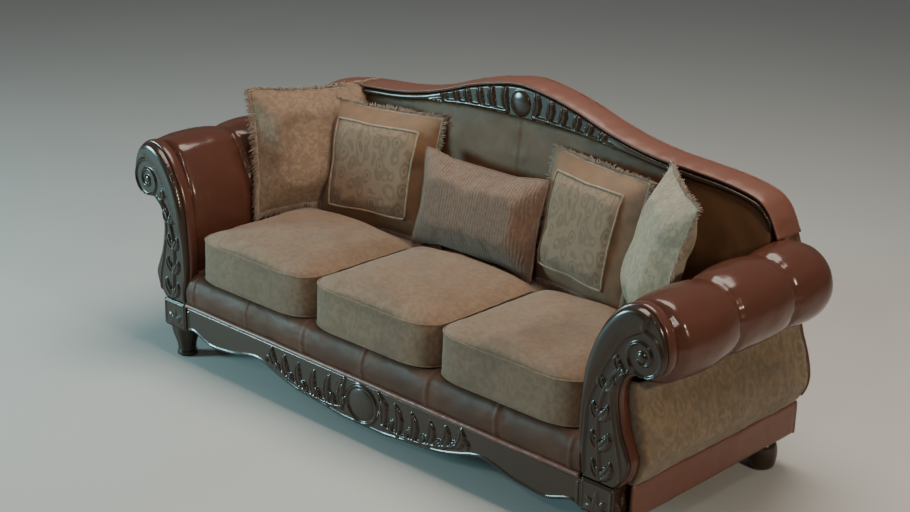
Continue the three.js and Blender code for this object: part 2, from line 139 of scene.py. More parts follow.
def spaced(line, step, closed=False):
    """The same line with evenly spaced points."""
    line = np.asarray(line, float)
    if closed:
        line = np.vstack([line, line[:1]])
    run = np.concatenate([[0], np.cumsum(np.linalg.norm(np.diff(line, axis=0), axis=1))])
    at = np.linspace(0, run[-1], max(3, round(run[-1] / step) + 1))
    out = np.column_stack([np.interp(at, run, column) for column in line.T])
    return out[:-1] if closed else out


def curve(marks, step):
    """Evenly spaced points on a smooth line through given marks."""
    p = np.asarray(marks, float)
    ends = np.vstack([2 * p[0] - p[1], p, 2 * p[-1] - p[-2]])
    t = np.linspace(0, 1, 12, endpoint=False)[:, None]
    parts = [
        b + 0.5 * ((c - a) * t + (2 * a - 5 * b + 4 * c - d) * t**2 + (3 * b - a - 3 * c + d) * t**3)
        for a, b, c, d in zip(ends, ends[1:], ends[2:], ends[3:])]
    return spaced(np.vstack([*parts, p[-1:]]), step)


def left_of(line):
    """Unit vectors to the left of each point of an open 2-D line."""
    ahead = np.gradient(line, axis=0)
    return unit(np.column_stack([-ahead[:, 1], ahead[:, 0]]))


def nearest(line, spots):
    """Distance of each spot from a line, and how far along the line it is, from 0 to 1."""
    best, along = np.full(len(spots), 1e9), np.zeros(len(spots))
    for i, (a, b) in enumerate(zip(line, line[1:])):
        ab = b - a
        t = np.clip((spots - a) @ ab / max(ab @ ab, 1e-12), 0, 1)
        gap = np.linalg.norm(spots - a - t[:, None] * ab, axis=1)
        closer = gap < best
        best[closer], along[closer] = gap[closer], (i + t[closer]) / (len(line) - 1)
    return best, along


def inside(loop, spots):
    """Whether each spot lies inside a closed loop."""
    odd = np.zeros(len(spots), bool)
    for (x0, z0), (x1, z1) in zip(loop, np.roll(loop, -1, axis=0)):
        spans = (z0 > spots[:, 1]) != (z1 > spots[:, 1])
        if spans.any():
            odd ^= spans & (spots[:, 0] < x0 + (x1 - x0) * (spots[:, 1] - z0) / (z1 - z0))
    return odd


def waver(points, size, seed, octaves=3):
    """A smooth random height of about -1 to 1 at each point, in bumps of about that size."""
    random = np.random.default_rng(seed)
    total = np.zeros(len(points))
    for k in range(octaves):
        way = random.normal(size=(9, points.shape[1]))
        way *= (2 * math.pi * 2**k / size / np.linalg.norm(way, axis=1))[:, None]
        total += np.sin(points @ way.T + random.uniform(0, 2 * math.pi, 9)).mean(1) / 1.7**k
    return 1.6 * total


def step_up(value, low, high):
    """0 below low, 1 above high, and smooth in between."""
    t = np.clip((value - low) / (high - low), 0, 1)
    return t * t * (3 - 2 * t)


def bump(value, width):
    """1 at zero, falling off smoothly over width."""
    return np.exp(-((value / width) ** 2))


def dome(value):
    """The height of a half circle: 1 at zero and 0 beyond 1."""
    return np.sqrt(np.clip(1 - value**2, 0, 1))


def rounded(gap, width):
    """A quarter circle that rises from 0 at an edge to 1 at width from it."""
    return dome(1 - np.minimum(gap / width, 1))


# ---- meshes -----------------------------------------------------------------------------------
def make_piece(name, shape, look, stands_for=(), fill=None, slot=None, **values):
    """A smooth piece that rides on the sofa.

    It has points and faces, a finish, the CAD nodes that it stands for, how full it is if it is
    padded, which is not used, and any named value at each point.
    """
    points, faces = shape
    mesh = bpy.data.meshes.new(name)
    mesh.from_pydata(np.asarray(points).tolist(), [], faces)
    sides = bmesh.new()
    sides.from_mesh(mesh)
    bmesh.ops.recalc_face_normals(sides, faces=sides.faces)
    sides.to_mesh(mesh)
    sides.free()
    mesh.polygons.foreach_set("use_smooth", [True] * len(mesh.polygons))
    for label, value in values.items():
        mesh.attributes.new(label, "FLOAT", "POINT").data.foreach_set(
            "value", np.asarray(value, np.float32))
    mesh.materials.append(finish(look))
    piece = bpy.data.objects.new(name, mesh)
    bpy.context.scene.collection.objects.link(piece)
    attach(piece, "root")
    if stands_for:
        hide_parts(*stands_for)
    return piece


def sided(shape, side):
    """A right-hand shape, or its mirror image."""
    return shape[0] * [side, 1, 1], shape[1]


def loft(rings):
    """Points and faces of a closed skin over rings of equally many points."""
    count, around = len(rings), len(rings[0])
    faces = [
        (i * around + j, i * around + (j + 1) % around,
         (i + 1) * around + (j + 1) % around, (i + 1) * around + j)
        for i in range(count - 1) for j in range(around)]
    faces += [tuple(range(around)), tuple(range((count - 1) * around, count * around))]
    return np.concatenate(rings), faces


def turned(profile, middle, around=40, lobes=0):
    """A turned shape about a vertical line, with carved lobes if asked for."""
    angle = np.linspace(0, 2 * math.pi, around, endpoint=False)
    lobed = rays(angle) * (1 + 0.07 * np.abs(np.sin(lobes * angle / 2)))[:, None]
    return loft([np.column_stack([lobed * r + middle[:2], np.full(around, z)]) for r, z in profile])


def along_line(line, radius, sides=8, closed=False, seed=None):
    """Points and faces of a cord that follows a line of 3-D points."""
    line = np.asarray(line, float)
    ahead = unit(
        np.roll(line, -1, 0) - np.roll(line, 1, 0) if closed else np.gradient(line, axis=0))
    side = unit(np.cross(ahead, [0.31, 0.17, 0.93]))
    up = np.cross(side, ahead)
    thick = np.full(len(line), radius)
    if seed is not None:
        thick = radius * (1 + 0.08 * waver(line, 0.03, seed))
    turn = rays(np.linspace(0, 2 * math.pi, sides, endpoint=False))
    points, faces = loft([
        p + r * (turn @ np.array([s, u])) for p, r, s, u in zip(line, thick, side, up)])
    if closed:
        last = (len(line) - 1) * sides
        faces = faces[:-2] + [
            (last + j, last + (j + 1) % sides, (j + 1) % sides, j) for j in range(sides)]
    return points, faces


def merged(parts):
    """Several lots of points and faces as one."""
    points, faces, start = [], [], 0
    for some, its_faces in parts:
        points.append(some)
        faces += [tuple(i + start for i in face) for face in its_faces]
        start += len(some)
    return np.concatenate(points), faces


def shell(*counts):
    """The skin of a block of cells: where each point is, from -1 to 1, its faces and its index."""
    index, spots, faces = {}, [], []
    for axis in (2, 1, 0):
        across = [count for k, count in enumerate(counts) if k != axis]
        for level in (0, counts[axis]):
            for i, j in np.ndindex(*across):
                face = []
                for corner in ((i, j), (i + 1, j), (i + 1, j + 1), (i, j + 1)):
                    cell = (*corner[:axis], level, *corner[axis:])
                    if cell not in index:
                        index[cell] = len(spots)
                        spots.append([2 * c / n - 1 for c, n in zip(cell, counts)])
                    face.append(index[cell])
                faces.append(tuple(face))
    return np.array(spots), faces, index


def block(node, *counts):
    """A shell over a CAD node: where each point is, from -1 to 1 and in metres, and its faces."""
    low, high = (np.array(end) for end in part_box(node))
    spots, faces, _ = shell(*counts)
    return spots, spots * (high - low) / 2 + (high + low) / 2, faces


def rim_of(index, nu, nv, level, inset=0):
    """The points of a shell round the edge of one level, in order."""
    lo, hu, hv = inset, nu - inset, nv - inset
    cells = ([(i, lo) for i in range(lo, hu)] + [(hu, j) for j in range(lo, hv)]
             + [(i, hv) for i in range(hu, lo, -1)] + [(lo, j) for j in range(hv, lo, -1)])
    return np.array([index[(*cell, level)] for cell in cells])


def relax(loop, rounds=6):
    """Rounds off the facets of a closed loop and keeps its corners."""
    ahead, behind = np.roll(loop, -1, 0) - loop, loop - np.roll(loop, 1, 0)
    dots = (ahead * behind).sum(1) / np.maximum(
        np.linalg.norm(ahead, axis=1) * np.linalg.norm(behind, axis=1), 1e-12)
    soft = (dots > 0.75)[:, None]
    for _ in range(rounds):
        loop = np.where(soft, (np.roll(loop, -1, 0) + np.roll(loop, 1, 0) + 2 * loop) / 4, loop)
    return loop


def outline_of(node, facing=-1):
    """The edge, in x and z, of the face of a CAD plate that looks along y."""
    mesh, ahead = frame["nodes"][node].data, {}
    for face in mesh.polygons:
        if face.normal.y * facing > 0.9:
            spots = [(round(mesh.vertices[i].co.x, 5), round(mesh.vertices[i].co.z, 5))
                     for i in face.vertices]
            for a, b in zip(spots, spots[1:] + spots[:1]):
                if ahead.get(b) and a in ahead[b]:
                    ahead[b].remove(a)
                else:
                    ahead.setdefault(a, []).append(b)
    loops = []
    while any(ahead.values()):
        spot = next(a for a, nexts in ahead.items() if nexts)
        loop = []
        while ahead.get(spot):
            loop.append(spot)
            spot = ahead[spot].pop()
        loops.append(loop)
    return np.array(max(loops, key=lambda loop: np.ptp(np.array(loop), axis=0).sum()))


def whole(half):
    """A right-hand outline joined to its mirror image down the middle."""
    cut = half[:, 0] < 0.001
    loop = np.roll(half, -int(np.flatnonzero(cut & ~np.roll(cut, -1))[0]), axis=0)
    kept = loop[:, 0] >= 0.001
    kept[[0, np.flatnonzero(kept)[-1] + 1]] = True
    loop = loop[kept]
    loop[[0, -1], 0] = 0
    return np.vstack([loop, (loop * [-1, 1])[::-1][1:-1]])


def relief_plate(outline, front, back, relief, pitch=0.0028, lean=(0, 0), facing=-1, edge=0.005):
    """A plate whose face carries a relief: its shape, and how hollow or proud each point is.

    front and back are its places in y, which lean over by so much for each metre above a height.
    relief gives the height over the face at spots whose distance from the edge is known.
    """
    rim = relax(spaced(outline, pitch, closed=True))
    rim = rim[np.linalg.norm(np.roll(rim, -1, 0) - rim, axis=1) > 0.35 * pitch]
    low, high = rim.min(0), rim.max(0)
    grid = np.array([
        (x + pitch / 2 * (k % 2), z) for k, z in enumerate(np.arange(low[1], high[1], pitch * 0.87))
        for x in np.arange(low[0], high[0], pitch)])
    grid = grid[inside(rim, grid)]
    gap = nearest(np.vstack([rim, rim[:1]]), grid)[0]
    keep = gap > 0.6 * pitch
    flat = np.vstack([rim, grid[keep]])
    gap = np.concatenate([np.zeros(len(rim)), gap[keep]])
    count, total = len(rim), len(flat)
    ring = [(i, (i + 1) % count) for i in range(count)]
    spots, _, triangles, *_ = delaunay_2d_cdt([Vector(p) for p in flat], ring, [], 1, 1e-5)
    if len(spots) != total:
        raise RuntimeError("the outline of a relief crosses itself")
    height = relief(flat, gap) - edge * (1 - rounded(gap, edge))
    shift = lean[0] * (flat[:, 1] - lean[1])
    points = np.vstack([
        section(flat, front + shift + facing * height), section(rim, back + shift[:count])])
    faces = [tuple(t) for t in triangles] + [(i, j, total + j, total + i) for i, j in ring]
    faces.append(tuple(range(total, total + count)))
    corners = np.array(triangles)
    pairs = np.vstack([corners[:, [0, 1]], corners[:, [1, 2]], corners[:, [2, 0]]])
    proud = np.concatenate([(height - soften(pairs, height, 10)) / 0.0012, np.zeros(count)])
    return (points, faces), {
        "hollow": np.clip(-proud, 0, 1), "proud": np.clip(proud, 0, 1),
        "skin": np.arange(len(points)) < total}


def soften(pairs, values, rounds):
    """Evens out values at points that are joined in pairs."""
    pairs = np.vstack([pairs, pairs[:, ::-1]])
    uses = np.bincount(pairs[:, 0], minlength=len(values)).astype(float)
    columns = values.reshape(len(values), -1).T.copy()
    for _ in range(rounds):
        for k, column in enumerate(columns):
            total = np.bincount(pairs[:, 0], column[pairs[:, 1]], len(values))
            columns[k] = 0.5 * column + 0.5 * total / np.maximum(uses, 1)
    return columns.T.reshape(values.shape)


def surface_of(piece):
    """A search tree of a piece's faces, or of its outer skin only where it has one marked."""
    mesh, place = piece.data, piece.matrix_world
    skin = mesh.attributes.get("skin")
    shown = [not skin or skin.data[v.index].value > 0.5 for v in mesh.vertices]
    return BVHTree.FromPolygons(
        [place @ v.co for v in mesh.vertices],
        [list(f.vertices) for f in mesh.polygons if all(shown[i] for i in f.vertices)])


def press(points, trees, gap=0.0008, reach=0.11):
    """Moves points that are behind the surfaces of other pieces out in front of them."""
    points = np.array(points)
    for tree in trees:
        for i, p in enumerate(points):
            spot = Vector(p)
            near, normal, _, _ = tree.find_nearest(spot, reach)
            if near is not None:
                depth = (spot - near).dot(normal)
                if depth < gap and (spot - near - normal * depth).length < 0.012:
                    points[i] = spot + normal * (gap - depth)
    return points


def swell(piece, pressure, cap, slack, pinned=()):
    """Blows a closed skin up as cloth, and gives its new points, none moved beyond the cap."""
    scene, mesh = bpy.context.scene, piece.data
    start = np.array([v.co for v in mesh.vertices])
    cloth = piece.modifiers.new("Cloth", "CLOTH")
    settings = cloth.settings
    settings.quality = 6
    settings.use_pressure = True
    settings.uniform_pressure_force = pressure
    settings.tension_stiffness = settings.compression_stiffness = 12
    settings.shear_stiffness = 4
    settings.bending_stiffness = 0.4
    settings.shrink_min = -slack
    settings.effector_weights.gravity = 0
    if len(pinned):
        piece.vertex_groups.new(name="held").add([int(i) for i in pinned], 1.0, "REPLACE")
        settings.vertex_group_mass = "held"
    cloth.collision_settings.use_collision = False
    for k in range(1, 21):
        scene.frame_set(k)
    seen = piece.evaluated_get(bpy.context.evaluated_depsgraph_get())
    moved = np.array([v.co for v in seen.data.vertices]) - start
    piece.modifiers.remove(cloth)
    piece.vertex_groups.clear()
    scene.frame_set(1)
    far = np.linalg.norm(moved, axis=1, keepdims=True)
    return start + moved * np.minimum(1, cap / np.maximum(far, 1e-9))


def move_points(piece, points):
    """Gives a piece's mesh new places for its points."""
    piece.data.vertices.foreach_set("co", np.asarray(points, np.float32).ravel())
    piece.data.update()


def normals_of(piece):
    """The unit normal at each point of a piece's mesh."""
    return np.array([n.vector for n in piece.data.vertex_normals])


def refine(piece):
    """One smooth subdivision of a piece, made part of its mesh."""
    piece.modifiers.new("Finer", "SUBSURF").levels = 1
    seen = piece.evaluated_get(bpy.context.evaluated_depsgraph_get())
    mesh = bpy.data.meshes.new_from_object(seen)
    piece.modifiers.clear()
    piece.data = mesh


# ---- finishes ---------------------------------------------------------------------------------
class Wiring:
    """Adds nodes to one tree with their sockets filled in."""

    def __init__(self, tree):
        self.tree = tree

    def plug(self, socket, value):
        """A value, a node's first output or another socket goes into a socket."""
        if isinstance(value, bpy.types.Node):
            value = value.outputs[0]
        if isinstance(value, bpy.types.NodeSocket):
            self.tree.links.new(value, socket)
        elif socket.type == "RGBA" and len(value) == 3:
            socket.default_value = (*value, 1)
        else:
            socket.default_value = value

    def add(self, kind, sockets=None, **settings):
        node = self.tree.nodes.new("ShaderNode" + kind)
        for name, value in settings.items():
            setattr(node, name, value)
        for name, value in (sockets or {}).items():
            self.plug(node.inputs[name], value)
        return node

    def sum(self, how, a, b=0.0):
        return self.add("Math", {0: a, 1: b}, operation=how).outputs[0]

    def times(self, a, b):
        return self.sum("MULTIPLY", a, b)

    def plus(self, a, b):
        return self.sum("ADD", a, b)

    def blend(self, share, a, b):
        return self.add("Mix", {0: share, 6: a, 7: b}, data_type="RGBA").outputs[2]

    def ramp(self, value, low, high, start=0.0, end=1.0):
        return self.add("MapRange", {0: value, 1: low, 2: high, 3: start, 4: end}).outputs[0]

    def noise(self, where, scale, detail=3.0, distortion=0.0, out="Fac"):
        return self.add("TexNoise", {
            "Vector": where, "Scale": scale, "Detail": detail, "Distortion": distortion}).outputs[out]

    def cells(self, where, scale, feature="DISTANCE_TO_EDGE"):
        return self.add("TexVoronoi", {"Vector": where, "Scale": scale}, feature=feature).outputs[
            "Distance"]

    def stretch(self, where, by):
        return self.add("Mapping", {"Vector": where, "Scale": by}).outputs[0]

    def where(self):
        """The piece's own coordinates."""
        return self.add("TexCoord").outputs["Object"]

    def value_at_points(self, name):
        return self.add("Attribute", attribute_name=name).outputs["Fac"]

    def normal(self):
        return self.add("SeparateXYZ", {0: self.add("NewGeometry").outputs["Normal"]}).outputs


SOCKETS = {
    "Vector": "NodeSocketVector", "Run": "NodeSocketVector", "Colour": "NodeSocketColor",
    "Rubbed": "NodeSocketColor"}


def effect(label, takes, gives):
    """Makes a shared node group, once, of a function that wires it, and adds it where it is used."""
    def wrap(fill):
        def use(w, **values):
            tree = bpy.data.node_groups.get(label)
            if tree is None:
                tree = bpy.data.node_groups.new(label, "ShaderNodeTree")
                for way, names in (("INPUT", takes), ("OUTPUT", gives)):
                    for name in names:
                        tree.interface.new_socket(
                            name, in_out=way, socket_type=SOCKETS.get(name, "NodeSocketFloat"))
                inner = Wiring(tree)
                given, sink = inner.tree.nodes.new("NodeGroupInput"), tree.nodes.new("NodeGroupOutput")
                for name, value in fill(inner, given.outputs).items():
                    inner.plug(sink.inputs[name], value)
            node = w.tree.nodes.new("ShaderNodeGroup")
            node.node_tree = tree
            for name, value in values.items():
                w.plug(node.inputs[name], value)
            return node.outputs
        return use
    return wrap


@effect("Leather hide", ("Vector", "Colour", "Rubbed", "Wear", "Roughness"),
        ("Colour", "Roughness", "Height"))
def hide_effect(w, given):
    """Leather: blotchy dye, pebble grain, fine cracks and rubbed places."""
    where, base = given["Vector"], given["Colour"]
    blotch = w.ramp(w.noise(where, 5.0, 4), 0.35, 0.68)
    pebble = w.ramp(w.cells(where, 420.0), 0.0, 0.16)
    bent = w.noise(where, 14.0, 5, 1.2)
    lines = w.cells(w.blend(0.18, where, w.noise(where, 16.0, 2.0, out="Color")), 34.0)
    crack = w.times(w.ramp(lines, 0.0, 0.045, 1.0, 0.0), w.ramp(bent, 0.47, 0.62))
    crack = w.times(crack, given["Wear"])
    rubbed = w.times(w.ramp(w.noise(where, 9.0, 6, 0.6), 0.52, 0.74), given["Wear"])
    dyed = w.blend(blotch, w.blend(0.35, base, BLACK), base)
    worn = w.blend(w.times(rubbed, 0.55), dyed, given["Rubbed"])
    rough = w.plus(given["Roughness"], w.times(rubbed, 0.22))
    height = w.sum("SUBTRACT", w.times(pebble, 0.35), w.times(crack, 0.8))
    return {
        "Colour": w.blend(w.times(crack, 0.5), worn, w.blend(0.5, base, BLACK)),
        "Roughness": w.plus(rough, w.ramp(w.noise(where, 40.0, 3), 0.3, 0.7, -0.04, 0.05)),
        "Height": w.plus(height, w.times(bent, 0.8))}


@effect("Dust and grime", ("Colour", "Roughness", "Dust", "Grime"), ("Colour", "Roughness"))
def dust_effect(w, given):
    """Dust that lies on what faces up, and grime that gathers in blotches."""
    where = w.where()
    patch = w.ramp(w.noise(where, 7.0, 6, 0.4), 0.38, 0.7)
    dust = w.times(w.times(w.ramp(w.normal()["Z"], 0.25, 0.95), patch), given["Dust"])
    grime = w.times(w.ramp(w.noise(where, 3.2, 5, 0.8), 0.5, 0.75), given["Grime"])
    dirty = w.blend(grime, given["Colour"], w.blend(0.62, given["Colour"], (0.03, 0.02, 0.012)))
    return {"Colour": w.blend(dust, dirty, (0.34, 0.30, 0.25)),
            "Roughness": w.plus(given["Roughness"], w.times(dust, 0.4))}


@effect("Cloth weave", ("Vector", "Threads"), ("Height", "Fluff"))
def weave_effect(w, given):
    """Crossing threads: each set shows only where it doesn't run flat under the face."""
    threads, facing = [], w.normal()
    for way in ("X", "Y", "Z"):
        wave = w.add("TexWave", {
            "Vector": given["Vector"], "Scale": given["Threads"], "Distortion": 1.2,
            "Detail": 1.0, "Detail Scale": 4.0}, bands_direction=way).outputs["Fac"]
        crossed = w.ramp(w.sum("ABSOLUTE", facing[way]), 0.45, 0.9, 1.0, 0.0)
        threads.append(w.times(wave, crossed))
    height = w.sum("MAXIMUM", w.sum("MAXIMUM", threads[0], threads[1]), threads[2])
    fluff = w.noise(given["Vector"], 420.0, 2)
    return {"Height": w.plus(w.times(height, 0.7), w.times(fluff, 0.6)), "Fluff": fluff}


@effect("Woven scrolls", ("Vector", "Scale"), ("Mask",))
def scroll_effect(w, given):
    """Tone-on-tone curls and seed shapes, as in a woven scroll pattern."""
    where, scale = w.stretch(given["Vector"], (1.0, 1.0, 0.72)), given["Scale"]
    drift = w.noise(where, w.times(scale, 0.9), 1.0, out="Color")
    shift = w.add("VectorMath", {0: drift, "Scale": w.sum("DIVIDE", 0.55, scale)},
                  operation="SCALE").outputs[0]
    bent = w.add("VectorMath", {0: where, 1: shift}, operation="ADD").outputs[0]
    middle = w.cells(bent, scale, "SMOOTH_F1")
    curl = w.ramp(w.sum("SINE", w.times(middle, 21.0)), -0.15, 0.35)
    mask = w.sum("MAXIMUM", w.times(curl, 0.8), w.ramp(middle, 0.22, 0.16))
    return {"Mask": w.times(mask, w.ramp(w.noise(where, 160.0, 2), 0.25, 0.6, 0.45, 1.0))}


@effect("Timber", ("Vector", "Run", "Colour", "Rubbed", "Hollow", "Proud", "Wear", "Roughness"),
        ("Colour", "Roughness", "Height"))
def timber_effect(w, given):
    """Wood: stretched grain, pores, painted shade in the hollows and rubbed, paler ridges."""
    grain = w.noise(w.stretch(given["Vector"], given["Run"]), 60.0, 6, 1.4)
    stained = w.blend(
        w.ramp(grain, 0.38, 0.66), w.blend(0.5, given["Colour"], BLACK), given["Colour"])
    scuff = w.ramp(w.noise(given["Vector"], 22.0, 6, 0.5), 0.4, 0.62)
    rubbed = w.times(w.times(given["Proud"], scuff), given["Wear"])
    paler = w.blend(rubbed, stained, given["Rubbed"])
    rough = w.plus(given["Roughness"], w.times(given["Hollow"], 0.3))
    # painted shade: the colour goes almost to black in the hollows of the carving
    return {
        "Colour": w.blend(w.times(given["Hollow"], 0.8), paler, (0.006, 0.004, 0.003)),
        "Roughness": w.plus(rough, w.ramp(grain, 0.3, 0.7, -0.03, 0.08)), "Height": grain}


def finish_off(w, colour, rough, height, depth, dust, grime, **constants):
    """Dust over the surface, then all that the shader takes into its sockets."""
    soiled = dust_effect(w, Colour=colour, Roughness=rough, Dust=dust, Grime=grime)
    relief = w.add("Bump", {"Height": height, "Distance": depth, "Strength": 0.8})
    takes = {name.replace("_", " "): value for name, value in constants.items()}
    takes |= {"Base Color": soiled["Colour"], "Roughness": soiled["Roughness"], "Normal": relief}
    for name, value in takes.items():
        w.plug(w.tree.nodes["Principled BSDF"].inputs[name], value)


def leather(w, colour, rubbed, rough, wear, coat):
    hide = hide_effect(
        w, Vector=w.where(), Colour=colour, Rubbed=rubbed, Wear=wear, Roughness=rough)
    finish_off(w, hide["Colour"], hide["Roughness"], hide["Height"], 0.0004, 0.03, 0.4,
               Coat_Weight=coat, Coat_Roughness=0.18, Specular_IOR_Level=0.25 + 0.5 * coat)


def timber(w, colour, rubbed, rough, run, coat):
    wood = timber_effect(
        w, Vector=w.where(), Run=(run, 1, 1), Colour=colour, Rubbed=rubbed, Wear=0.8,
        Hollow=w.value_at_points("hollow"), Proud=w.value_at_points("proud"), Roughness=rough)
    finish_off(w, wood["Colour"], wood["Roughness"], wood["Height"], 0.0004, 0.04, 0.3,
               Coat_Weight=coat, Coat_Roughness=0.14, Specular_IOR_Level=0.3)


def cloth(w, colour, figure, scale, threads=260.0, contrast=0.6):
    """Woven cloth: figure is the colour of its pattern, and scale how many shapes to a metre."""
    where = w.where()
    weave = weave_effect(w, Vector=where, Threads=threads)
    mask = w.times(scroll_effect(w, Vector=where, Scale=scale)["Mask"], contrast)
    mottle = w.noise(where, 62.0, 4, 0.3)
    tone = w.blend(mask, colour, figure)
    for share, part, tint in (
            (w.ramp(weave["Fluff"], 0.3, 0.75, 0.0, 0.30), 0.3, (0.9, 0.72, 0.52)),
            (w.ramp(w.noise(where, 6.0, 5, 0.5), 0.35, 0.75, 0.0, 0.35), 0.45, (0.05, 0.03, 0.02)),
            (w.ramp(mottle, 0.42, 0.58, 0.0, 0.55), 0.5, (0.06, 0.03, 0.016))):
        tone = w.blend(share, tone, w.blend(part, tone, tint))
    height = w.plus(weave["Height"], w.times(w.plus(mask, mottle), 0.8))
    finish_off(w, tone, 0.86, height, 0.0011, 0.08, 0.5, Sheen_Weight=0.25, Sheen_Roughness=0.45)


def framed_cloth(w, colour, panel_colour, figure):
    """Pillow cloth with a patterned square inside a plain satin border."""
    where = w.where()
    weave = weave_effect(w, Vector=where, Threads=300.0)
    mask = scroll_effect(w, Vector=where, Scale=26.0)["Mask"]
    middle = w.sum("LESS_THAN", w.value_at_points("out"), 0.705)
    edge = w.blend(
        w.ramp(w.noise(where, 30.0, 4), 0.3, 0.7), w.blend(0.25, colour, BLACK), colour)
    tone = w.blend(middle, edge, w.blend(w.times(mask, 0.8), panel_colour, figure))
    height = w.plus(weave["Height"], w.times(w.times(mask, middle), 0.9))
    finish_off(w, tone, w.ramp(middle, 0.0, 1.0, 0.55, 0.86), height, 0.0009, 0.12, 0.4,
               Sheen_Weight=0.2)


def metal(w, colour):
    """Dull spring steel with a little rust."""
    rust = w.ramp(w.noise(w.where(), 60.0, 5), 0.5, 0.7)
    finish_off(w, w.blend(rust, colour, (0.16, 0.07, 0.03)), w.ramp(rust, 0.0, 1.0, 0.35, 0.8),
               rust, 0.0003, 0.1, 0.3, Metallic=w.ramp(rust, 0.0, 1.0, 0.9, 0.1))


def lining(w, colour):
    """Thin black cloth under the seat."""
    weave = weave_effect(w, Vector=w.where(), Threads=380.0)
    tone = w.blend(weave["Fluff"], colour, (0.05, 0.048, 0.045))
    finish_off(w, tone, 0.92, weave["Height"], 0.0005, 0.3, 0.5)


def studio_floor(w, colour):
    shader = w.tree.nodes["Principled BSDF"]
    w.plug(shader.inputs["Base Color"], w.blend(
        w.ramp(w.noise(w.where(), 1.5, 3), 0.3, 0.7), w.blend(0.03, colour, BLACK), colour))
    shader.inputs["Roughness"].default_value = 0.7


# slot, kind, base colour or the name of its setting, and what else the kind takes
FINISHES = {
    "arm_leather": ("arm_leather", leather, "hide", (0.15, 0.085, 0.05), 0.34, 0.6, 0.4),
    # the inside back: the arm leather painted lighter and warmer, as painted light on the upright back
    # that the lamps above light less
    "back_leather": (
        "arm_leather", leather, (0.150, 0.073, 0.036), (0.19, 0.105, 0.06), 0.52, 0.6, 0.0),
    "border_leather": (
        "arm_leather", leather, (0.105, 0.045, 0.027), (0.15, 0.072, 0.043), 0.50, 0.8, 0.0),
    "trim_leather": ("trim_leather", leather, "trim", (0.24, 0.13, 0.085), 0.42, 0.9, 0.2),
    "carved_wood": ("carved_wood", timber, "wood", (0.075, 0.055, 0.040), 0.3, 0.25, 0.2),
    "frame_wood": ("", timber, (0.46, 0.27, 0.12), (0.6, 0.4, 0.22), 0.7, 0.2, 0.0),
    "seat_cloth": ("seat_fabric", cloth, "seat", (0.27, 0.168, 0.094), 34.0, 260.0, 0.07),
    "corner_cloth": ("seat_fabric", cloth, (0.265, 0.168, 0.108), (0.33, 0.22, 0.145), 46.0),
    # the right corner pillow: the seat cloth painted much paler and greener, as painted light
    "pale_cloth": ("seat_fabric", cloth, (0.33, 0.27, 0.18), (0.42, 0.35, 0.24), 46.0),
    "outside_cloth": ("arm_fabric", cloth, "arm", (0.085, 0.05, 0.022), 20.0),
    "pleat_cloth": ("pleat_fabric", cloth, "pleat", (0.24, 0.13, 0.085), 60.0, 260.0, 0.3),
    "framed_cloth": (
        "border_fabric", framed_cloth, "border", (0.27, 0.17, 0.10), (0.15, 0.09, 0.055)),
    "pale_cord": ("seat_fabric", cloth, (0.46, 0.33, 0.21), (0.38, 0.26, 0.16), 90.0, 600.0),
    "fringe_yarn": ("", cloth, (0.48, 0.34, 0.245), (0.38, 0.26, 0.18), 90.0, 600.0),
    "spring_steel": ("", metal, (0.30, 0.31, 0.32)),
    "lining": ("dust_fabric", lining, (0.012, 0.012, 0.013)),
    "studio_floor": ("", studio_floor, "floor"),
}


def finish(name):
    """A finish by name, made the first time it is asked for."""
    made = bpy.data.materials.get(name)
    if made is None:
        made = bpy.data.materials.new(name)
        made.use_nodes = True
        _, kind, colour, *rest = FINISHES[name]
        if isinstance(colour, str):
            colour = getattr(bpy.context.scene.sofa_colours, colour)
        kind(Wiring(made.node_tree), colour, *rest)
    return made


# ---- carving ----------------------------------------------------------------------------------
def frond(spots, start, heading, length, turn, width):
    """Height from 0 to 1 of a carved leaf with a grooved rib that curls as it grows."""
    t = np.linspace(0, 1, 15)
    ways = rays(np.radians(heading + turn * t**1.5)) * length / 14
    rib = np.vstack([[0, 0], np.cumsum(ways[:-1], axis=0)]) + start
    height = np.zeros(len(spots))
    near = ((spots > rib.min(0) - width) & (spots < rib.max(0) + width)).all(1)
    if near.any():
        gap, along = nearest(rib, spots[near])
        half = width * np.sin(math.pi * (0.12 + 0.86 * along)) ** 0.6
        half *= 1 - 0.16 * np.abs(np.sin(4 * math.pi * along))
        across = np.clip(gap / half, 0, 1)
        crown = dome(across) * (1 - 0.55 * bump(across, 0.2))
        height[near] = crown * (0.65 + 0.35 * np.sin(math.pi * along))
    return height


def fan(spots, marks, leaves, headings, lengths, width, turn):
    """Height from 0 to 1 of a stem with a row of leaves that swing from one heading to another."""
    line = curve(mm(marks), 0.006)
    height = 0.8 * dome(nearest(line, spots)[0] / 0.0055)
    for share in np.linspace(0, 1, leaves):
        heading, length = (np.interp(share, [0, 1], ends) for ends in (headings, lengths))
        start = line[round(share * (len(line) - 1))]
        height = np.maximum(height, frond(spots, start, heading, length, turn, width))
    return height


